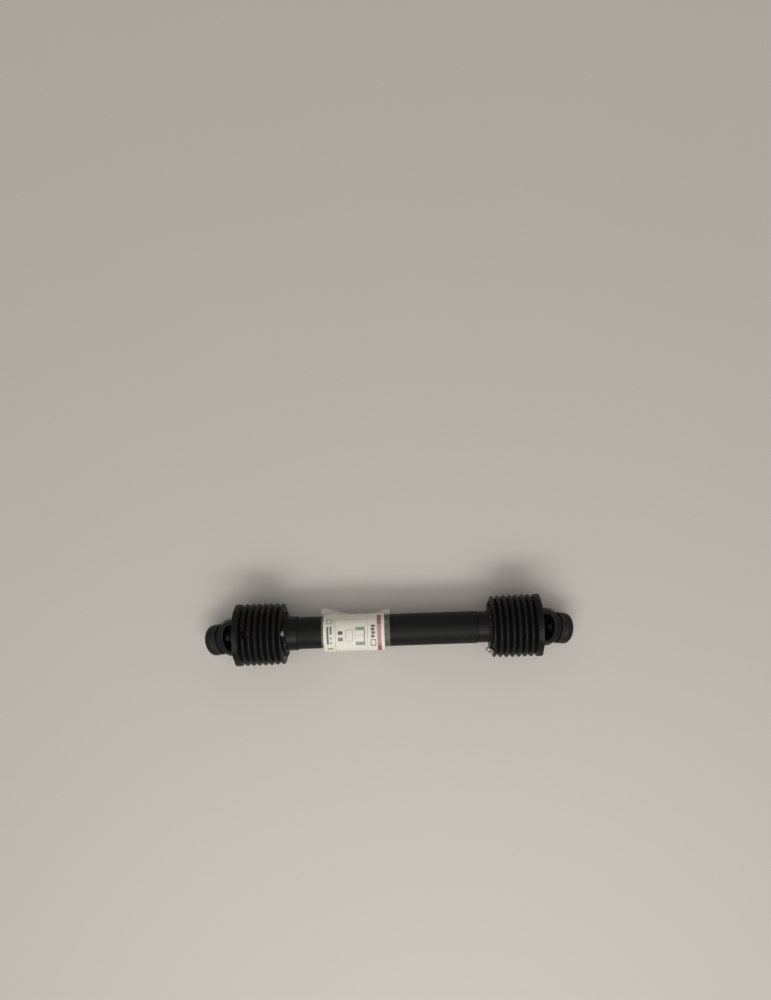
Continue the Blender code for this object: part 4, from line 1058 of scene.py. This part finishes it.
def make_hub(side):
    """Turned hub with its splined bore, ball holes and ring groove."""
    start = SHOULDER_START + 1.0 * MM
    ring_start = COLLAR_END - RING_SEAT
    ring_end = ring_start + RING_THICKNESS + 2 * CLEARANCE
    low = HUB_RADIUS - RING_GROOVE
    profile = [
        (start, 0.0), (start, HUB_RADIUS), (ring_start, HUB_RADIUS), (ring_start, low), (ring_end, low),
        (ring_end, HUB_RADIUS), (HUB_END - HUB_EDGE, HUB_RADIUS), (HUB_END, HUB_RADIUS - HUB_EDGE),
        (HUB_END, 0.0),
    ]
    mouth_start, mouth_end = HUB_END - MOUTH_DEPTH, HUB_END + 1.0 * MM
    mouth = [(mouth_start, 0.0), (mouth_start, SPLINE_MINOR_RADIUS)]
    mouth += [(mouth_end, SPLINE_MAJOR_RADIUS + MOUTH_FLARE), (mouth_end, 0.0)]
    splines = prism(spline_outline(), "x", CROTCH_START, HUB_END + CUT_PAST)
    tools = [splines, revolve(mouth, BORE_SEGMENTS, 0.01)]
    drill_start, drill_end = BALL_DRILL
    seat, bore = BALL_RADIUS * BALL_SEAT_SHARE, BALL_RADIUS + CLEARANCE
    drill = [(drill_start, 0.0), (drill_start, seat), (BALL_CENTRE_RADIUS - 3.2 * MM, seat)]
    drill += [(BALL_CENTRE_RADIUS - 2.2 * MM, bore), (drill_end, bore), (drill_end, 0.0)]
    for number in range(BALL_COUNT):
        turn = rotation("X", ball_angle(number))
        tools.append(turned(revolve(drill, 40), quarter_turn("Z"), turn, shift(BALL_X)))
    fit(side, "fork", "hub", "", combined(revolve(profile, HUB_SEGMENTS), *cuts(*tools)), GREASED, FLAT_ANGLE)


def make_outer_yoke(side):
    shoulder = (SHOULDER_START, SHOULDER_RADIUS, SHOULDER_END)
    passage = rod(CROTCH_START, SHOULDER_END + CUT_PAST, SPLINE_MAJOR_RADIUS + 1.0 * MM)
    fork = combined(fork_mesh(shoulder, OUTER_CROTCH), *cuts(revolve(passage, BORE_SEGMENTS)))
    fork = combined(forged(fork, OUTER_GRAIN, 8), *cuts(cup_bores()))
    fit(side, "fork", "fork_forging", "outer_yoke", fork, FORGING)


def tube_outline(radius):
    """Rounded-triangle section, one lobe up."""
    angles = [2 * pi * step / TUBE_POINTS for step in range(TUBE_POINTS)]
    return [polar(radius - TUBE_LOBE * sin(3 * angle), angle) for angle in angles]


def pin_hole(x, *turns):
    """Cutter of a yoke pin's hole, across the shaft at x."""
    pin = revolve(rod(-PIN_DRILL, PIN_DRILL, PIN_RADIUS + CLEARANCE), 32)
    return turned(pin, quarter_turn("Z"), *turns, shift(x))


def make_inner_yoke(side):
    """Fork turned to face outward, its neck toward the shaft's middle, ears along Z."""
    shoulder = (NECK_START, NECK_RADIUS, NECK_END)
    start = BEARING_END - BEARING_WIDTH
    low = NECK_RADIUS - NECK_GROOVE
    high = low + 10.0 * MM
    groove = [(start, low), (BEARING_END, low), (BEARING_END, high), (start, high)]
    socket = [(z, y) for y, z in tube_outline(TUBE_RADIUS[side] + CLEARANCE)]
    socket = prism(socket, "x", NECK_START, NECK_END + CUT_PAST)
    fork = forged(fork_mesh(shoulder, INNER_CROTCH), INNER_GRAIN, 8)
    pin = pin_hole(PIN_INBOARD, quarter_turn("X"))
    fork = combined(fork, *cuts(cup_bores(), revolve(groove, HUB_SEGMENTS), socket, pin))
    turned(fork, quarter_turn("X"), rotation("Z", pi))
    fit(side, "drive", "neck_forging", "inner_yoke", fork, FORGING)


def make_yoke_pin(side):
    reach = NECK_RADIUS - 1.0 * MM
    profile = softened(rod(-reach, reach, PIN_RADIUS, 2.4 * MM), 0.4 * MM)
    pin = revolve(profile, 40, PIN_SLOT / 2, 2 * pi - PIN_SLOT)
    pin = turned(pin, quarter_turn("Z"))
    fit(side, "drive", "spring_pin", "yoke_pin", pin, BARE, seat=shift(-PIN_INBOARD))


# Cross and bearings

def make_cross(side):
    """Forged spider: rounded body, four ground trunnions and a grease nipple."""
    corner = CROSS_REACH / cos(pi / 8)
    outline = [polar(corner, pi / 8 + pi / 4 * k) for k in range(8)]
    block = prism(outline, "x", -CROSS_HALF, CROSS_HALF)
    end = CUP_REACH - CUP_BOTTOM - CLEARANCE
    edge = 1.0 * MM
    arm = [(-end, 0.0), (-end, TRUNNION_RADIUS - edge), (-end + edge, TRUNNION_RADIUS)]
    arm += [(end - edge, TRUNNION_RADIUS), (end, TRUNNION_RADIUS - edge), (end, 0.0)]
    to_nipple = (quarter_turn("Z"), rotation("X", pi / 4))
    cross = combined(
        forged(block, 0.8 * MM, 10),
        ("UNION", turned(revolve(arm, BORE_SEGMENTS), quarter_turn("Z"))),
        ("UNION", turned(revolve(arm, BORE_SEGMENTS, 0.02), quarter_turn("Y"))),
        *cuts(turned(revolve(rod(*NIPPLE_SOCKET), 24), *to_nipple)),
    )
    fit(side, "cross", "spider", "cross", cross, BLACK_GREASE)
    hexagon = softened(rod(*NIPPLE_HEXAGON), 0.3 * MM)
    stem = softened([(x * MM, r * MM) for x, r in NIPPLE_STEM], 0.3 * MM)
    nipple = joined([turned(revolve(stem, 32), *to_nipple), turned(revolve(hexagon, 6), *to_nipple)])
    fit(side, "cross", "nipple", "grease_nipple", nipple, GROUND)


def make_cups(side):
    """The cups and circlips on both axes of the cross."""
    start = CUP_REACH - CUP_LENGTH
    bore = TRUNNION_RADIUS + 0.1 * MM
    floor = CUP_REACH - CUP_BOTTOM
    dent = CUP_REACH - 0.4 * MM
    cup = [(floor, 0.0), (floor, bore), (start, bore), (start, CUP_RADIUS), (CUP_REACH, CUP_RADIUS)]
    cup += [(CUP_REACH, CUP_RADIUS * 0.55), (dent, CUP_RADIUS * 0.5), (dent, 0.0)]
    clip_start = CUP_REACH + CLEARANCE
    clip = rod(clip_start, clip_start + CIRCLIP_THICKNESS, CIRCLIP_RADIUS, CIRCLIP_RADIUS - CIRCLIP_WIDTH)
    ends = (("y1", 0, 1), ("y2", 0, -1), ("z1", 1, 1), ("z2", 1, -1))
    for label, upward, direction in ends:
        carrier = "drive" if upward else "fork"
        turn = quarter_turn("X", upward) @ quarter_turn("Z", direction)
        skin = turned(revolve(softened(cup, 0.5 * MM), BORE_SEGMENTS), turn)
        fit(side, carrier, "bearing_" + label, "cup_" + label, skin, BLACK_GREASE)
        ring = turned(split_ring(clip, 0.2 * MM, 48, CIRCLIP_OPENING), turn)
        fit(side, carrier, "snap_" + label, "circlip_" + label, ring, PHOSPHATE)


# Collar and lock

def make_collar(side):
    """Pull collar: spring chamber, land over the balls, ramp, recess, lip and ring seat."""
    chamber = SHOULDER_RADIUS + 0.5 * MM
    land = HUB_RADIUS + CLEARANCE
    recess = land + BALL_LIFT + 2 * CLEARANCE
    recess_start = BALL_X + 6.0 * MM
    ramp_start = recess_start - (recess - land) * 2.0
    ring_face = COLLAR_END - RING_SEAT
    ring_bore = RING_RADIUS + 2 * CLEARANCE
    lip = ring_face - 2.7 * MM
    outside = [(COLLAR_START, chamber)]
    outside += [(COLLAR_START + x * MM, COLLAR_RADIUS - depth * MM) for x, depth in COLLAR_GRIP]
    middle = (COLLAR_END - COLLAR_EDGE, COLLAR_RADIUS - COLLAR_EDGE)
    outside += arc(middle, COLLAR_EDGE, pi / 2, 0.0, 10)
    inside = [
        (COLLAR_END, ring_bore), (ring_face, ring_bore), (ring_face, land), (lip, land), (lip, recess),
        (recess_start, recess), (ramp_start, land), (COLLAR_STEP, land), (COLLAR_STEP, chamber),
    ]
    fit(side, "collar", "pull_collar", "collar", revolve(outside + inside, GUARD_SEGMENTS), COLLAR, 50.0)


def make_lock(side):
    """Lock balls, collar spring and stop ring."""
    place = bent_place(side)
    for number in range(BALL_COUNT):
        ball = bmesh.new()
        bmesh.ops.create_uvsphere(ball, u_segments=40, v_segments=24, radius=BALL_RADIUS)
        seat = place @ shift(BALL_X, *polar(BALL_CENTRE_RADIUS, ball_angle(number)))
        label = str(number + 1)
        node = side + "_lock_ball_" + label
        show(side + "_steel_ball_" + label, ball, GROUND, side + "_ball_" + label, [node], seat)
    start = SHOULDER_END + CLEARANCE + SPRING_WIRE_RADIUS
    end = COLLAR_STEP - CLEARANCE - SPRING_WIRE_RADIUS
    radius = (HUB_RADIUS + SHOULDER_RADIUS) / 2
    path = []
    for share in spread(0.0, 1.0, int(48 * SPRING_TURNS)):
        y, z = polar(radius, 2 * pi * SPRING_TURNS * share)
        path.append(Vector((start + (end - start) * share, y, z)))
    coil = wire(path, SPRING_WIRE_RADIUS, 10)
    spring = fit(side, "fork", "coil", "collar_spring", coil, BARE, ROUND_ANGLE)
    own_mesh(spring)
    ring_start = COLLAR_END - RING_SEAT + CLEARANCE
    inner = HUB_RADIUS - RING_GROOVE + CLEARANCE
    profile = rod(ring_start, ring_start + RING_THICKNESS, RING_RADIUS, inner)
    ring = split_ring(profile, 0.3 * MM, BORE_SEGMENTS, RING_OPENING)
    fit(side, "fork", "stop_ring", "collar_ring", ring, BARE)


# Tubes

def make_tubes():
    seat = JOINT_X - NECK_START - CLEARANCE
    neck = JOINT_X - NECK_END
    ends = {
        "left": ("outer_drive", -seat, neck - OUTER_DRIVE_GAP),
        "right": ("inner_drive", INNER_DRIVE_GAP - neck, seat),
    }
    axis = shift(0.0, 0.0, AXIS_HEIGHT)
    for side, (body, low, high) in ends.items():
        tube = prism(tube_outline(TUBE_RADIUS[side]), "x", low, high)
        bore = prism(tube_outline(TUBE_RADIUS[side] - TUBE_WALL), "x", low - 1.0 * MM, high + 1.0 * MM)
        tube = combined(tube, *cuts(bore, pin_hole(SIDES[side] * (JOINT_X - PIN_INBOARD))))
        show(body + "_tube_skin", tube, GREASED, body, [body + "_tube"], axis, FLAT_ANGLE)
    for body, radius in (("outer_guard", OUTER_GUARD_RADIUS), ("inner_guard", INNER_GUARD_RADIUS)):
        low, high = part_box(body + "_tube")
        bore = radius - GUARD_WALL
        profile = softened([(low[0], bore), (high[0], bore), (high[0], radius), (low[0], radius)], 0.5 * MM)
        tube = revolve(profile, GUARD_SEGMENTS)
        show(body + "_tube_skin", tube, TUBE_PLASTIC, body, [body + "_tube"], axis)


# Label, its print and film

def wrap_point(lift, angle):
    """Point of the loose wrap, which bulges most at the side away from the film's free edge."""
    bulge = LABEL_BULGE if cos(angle) < 0.0 else LABEL_TIGHT_BULGE
    return polar(LABEL_BASE + lift + bulge * cos(angle) ** 2, angle)


def sheet(section, stations, thickness):
    """Closed thin sheet: section(x) gives its (y, z) points at each x of the stations."""
    mesh = bmesh.new()
    rows = [[mesh.verts.new((x, y, z)) for y, z in section(x)] for x in stations]
    for low, high in zip(rows, rows[1:]):
        for k in range(len(low) - 1):
            mesh.faces.new((low[k], low[k + 1], high[k + 1], high[k]))
    made = mesh_object("scratch", facing_out(mesh))
    solid = made.modifiers.new("solid", "SOLIDIFY")
    solid.thickness = thickness
    solid.offset = 0.0
    return result(made)


def wrapped(lift, low, high, turn, stations, thickness):
    """Sheet that follows the wrap from low to high degrees, in a number of steps."""
    angles = [radians(value) for value in spread(low, high, turn)]
    return sheet(lambda x: [wrap_point(lift, angle) for angle in angles], stations, thickness)


def patch(start, end, low, high):
    """Printed area: from start to end along the label, from low to high degrees round it."""
    origin = LABEL_MIDDLE_X - LABEL_WIDTH / 2
    stations = spread(origin + start, origin + end, max(1, round((end - start) / (6 * MM))))
    return wrapped(PRINT_LIFT, low, high, max(2, round(abs(high - low) / 3)), stations, PRINT_THICKNESS)


def outline(start, end, low, high, line, turn):
    """Four printed areas that frame a field, its lines line mm wide along and turn degrees round."""
    return [
        (start, start + line, low, high),
        (end - line, end, low, high),
        (start, end, low, low + turn),
        (start, end, high - turn, high),
    ]


def film_section(x):
    """Clear film over the paper. Its free edge stands away from the tube, most at both ends."""
    share = (x - FILM_MIDDLE_X) / FILM_WIDTH * 2.0
    ripple = 0.5 * MM * sin(9.0 * share) + 0.3 * MM * sin(23.0 * share + 1.0)
    points = []
    for degrees in range(240, 18, -4):
        angle = radians(degrees)
        loose = max(0.0, cos(angle)) ** 2
        points.append(wrap_point(FILM_LIFT + ripple * loose, angle))
    y, z = wrap_point(FILM_LIFT + ripple * 0.9, radians(20))
    reach = FILM_FLAP - FILM_FLAP_LEAN * share - FILM_FLAP_SAG * (1.0 - share * share)
    for along in spread(0.0, 1.0, 8)[1:]:
        rise = reach * (0.2 * along + 0.3 * along * along)
        points.append((y + reach * along, z + rise + ripple * 1.5 * along))
    return points


def make_label():
    axis = shift(0.0, 0.0, AXIS_HEIGHT)
    stations = about(LABEL_MIDDLE_X, LABEL_WIDTH / 2, 24)
    wrap = wrapped(LABEL_LIFT, -40.0, 220.0, 87, stations, PAPER_THICKNESS)
    show("label_paper", wrap, PAPER, "outer_guard", ["label_wrap"], axis)
    prints = {
        "frame": (FRAME_INK, outline(29.7, 111.6, 43.0, 163.0, 0.8, 1.1)),
        "stripe": (RED_INK, [(135.8, 146.1, 22.0, 64.0), (135.8, 146.1, 139.0, 172.0)]),
        # The stripe is paler over the top of the tube than at its two sides.
        "stripe_middle": (PALE_RED_INK, [(135.8, 146.1, 64.0, 139.0)]),
        "box": (PALE_RED_INK, outline(56.0, 75.0, 82.0, 121.0, 1.3, 1.8)),
        "block": (GREY_INK, outline(82.0, 104.0, 74.0, 137.0, 0.5, 0.7) + GREY_BLOCKS),
        "bars": (BLACK_INK, outline(8.5, 22.0, 41.0, 60.0, 1.6, 2.4)
                 + outline(118.5, 132.5, 117.0, 141.0, 2.0, 3.2) + BLACK_BARS),
    }
    for name, (finish, areas) in prints.items():
        fields = [patch(start * MM, end * MM, low, high) for start, end, low, high in areas]
        show("label_" + name, joined(fields), finish, "outer_guard", (), axis)
    film = sheet(film_section, about(FILM_MIDDLE_X, FILM_WIDTH / 2, 40), FILM_THICKNESS)
    show("label_cover", film, FILM, "outer_guard", ["label_film"], axis)


# Stage

def make_camera():
    data = bpy.data.cameras.new("camera")
    data.sensor_width = SENSOR
    data.sensor_height = SENSOR
    data.sensor_fit = "VERTICAL"
    data.lens = SENSOR * FOCAL_PIXELS / PHOTO_HEIGHT
    data.shift_x = CAMERA_SHIFT
    data.clip_end = VIEW_END
    camera = linked("camera", data)
    camera.location = CAMERA_PLACE
    camera.rotation_euler = CAMERA_TURN
    bpy.context.scene.camera = camera


def make_light(name, kind, aim, power, colour):
    """Light that shines along aim."""
    data = bpy.data.lights.new(name, kind)
    data.energy = power
    data.color = colour
    light = linked(name, data)
    light.rotation_euler = aim.to_track_quat("-Z", "Y").to_euler()
    return light


def make_world():
    """Soft light from all round, which the camera and reflections see as a paler backdrop."""
    n = Nodes(bpy.data.worlds.new("studio"))
    rays = n.add("LightPath").outputs
    seen = rays["Is Camera Ray"]
    for kind in ("Is Glossy Ray", "Is Transmission Ray"):
        seen = n.add("Math", {0: seen, 1: rays[kind]}, operation="MAXIMUM").outputs["Value"]
    level = n.mask(seen, 0.0, 1.0, WORLD_LIGHT, WORLD_SEEN)
    n.feed(n.tree.nodes["Background"], {"Color": WORLD_COLOUR, "Strength": level})
    bpy.context.scene.world = n.owner


def make_stage():
    """Backdrop, floor, wide soft light from above, even far out on the floor, and key light."""
    make_world()
    make_light("sky", "SUN", Vector(SKY_AIM), SKY_POWER, SKY_COLOUR).data.angle = SKY_SPREAD
    mesh = bmesh.new()
    bmesh.ops.create_grid(mesh, x_segments=1, y_segments=1, size=FLOOR_REACH)
    floor = mesh_object("floor", mesh)
    floor.data.materials.append(plain_floor("pale_floor", FLOOR_COLOUR))
    key = make_light("key", "AREA", -Vector(KEY_PLACE), KEY_POWER, KEY_COLOUR)
    key.data.shape = "RECTANGLE"
    key.data.size, key.data.size_y = KEY_SIZE
    key.location = KEY_PLACE


def main():
    bpy.context.scene.view_settings.view_transform = "Standard"
    make_camera()
    make_stage()
    makers = (make_guard_cone, make_guard_base, make_bearing_ring, make_guard_screws, make_chain,
              make_chain_hook, make_outer_yoke, make_hub, make_inner_yoke, make_yoke_pin, make_cross,
              make_cups, make_collar, make_lock)
    for side in SIDES:
        for make in makers:
            make(side)
    make_tubes()
    make_label()


main()
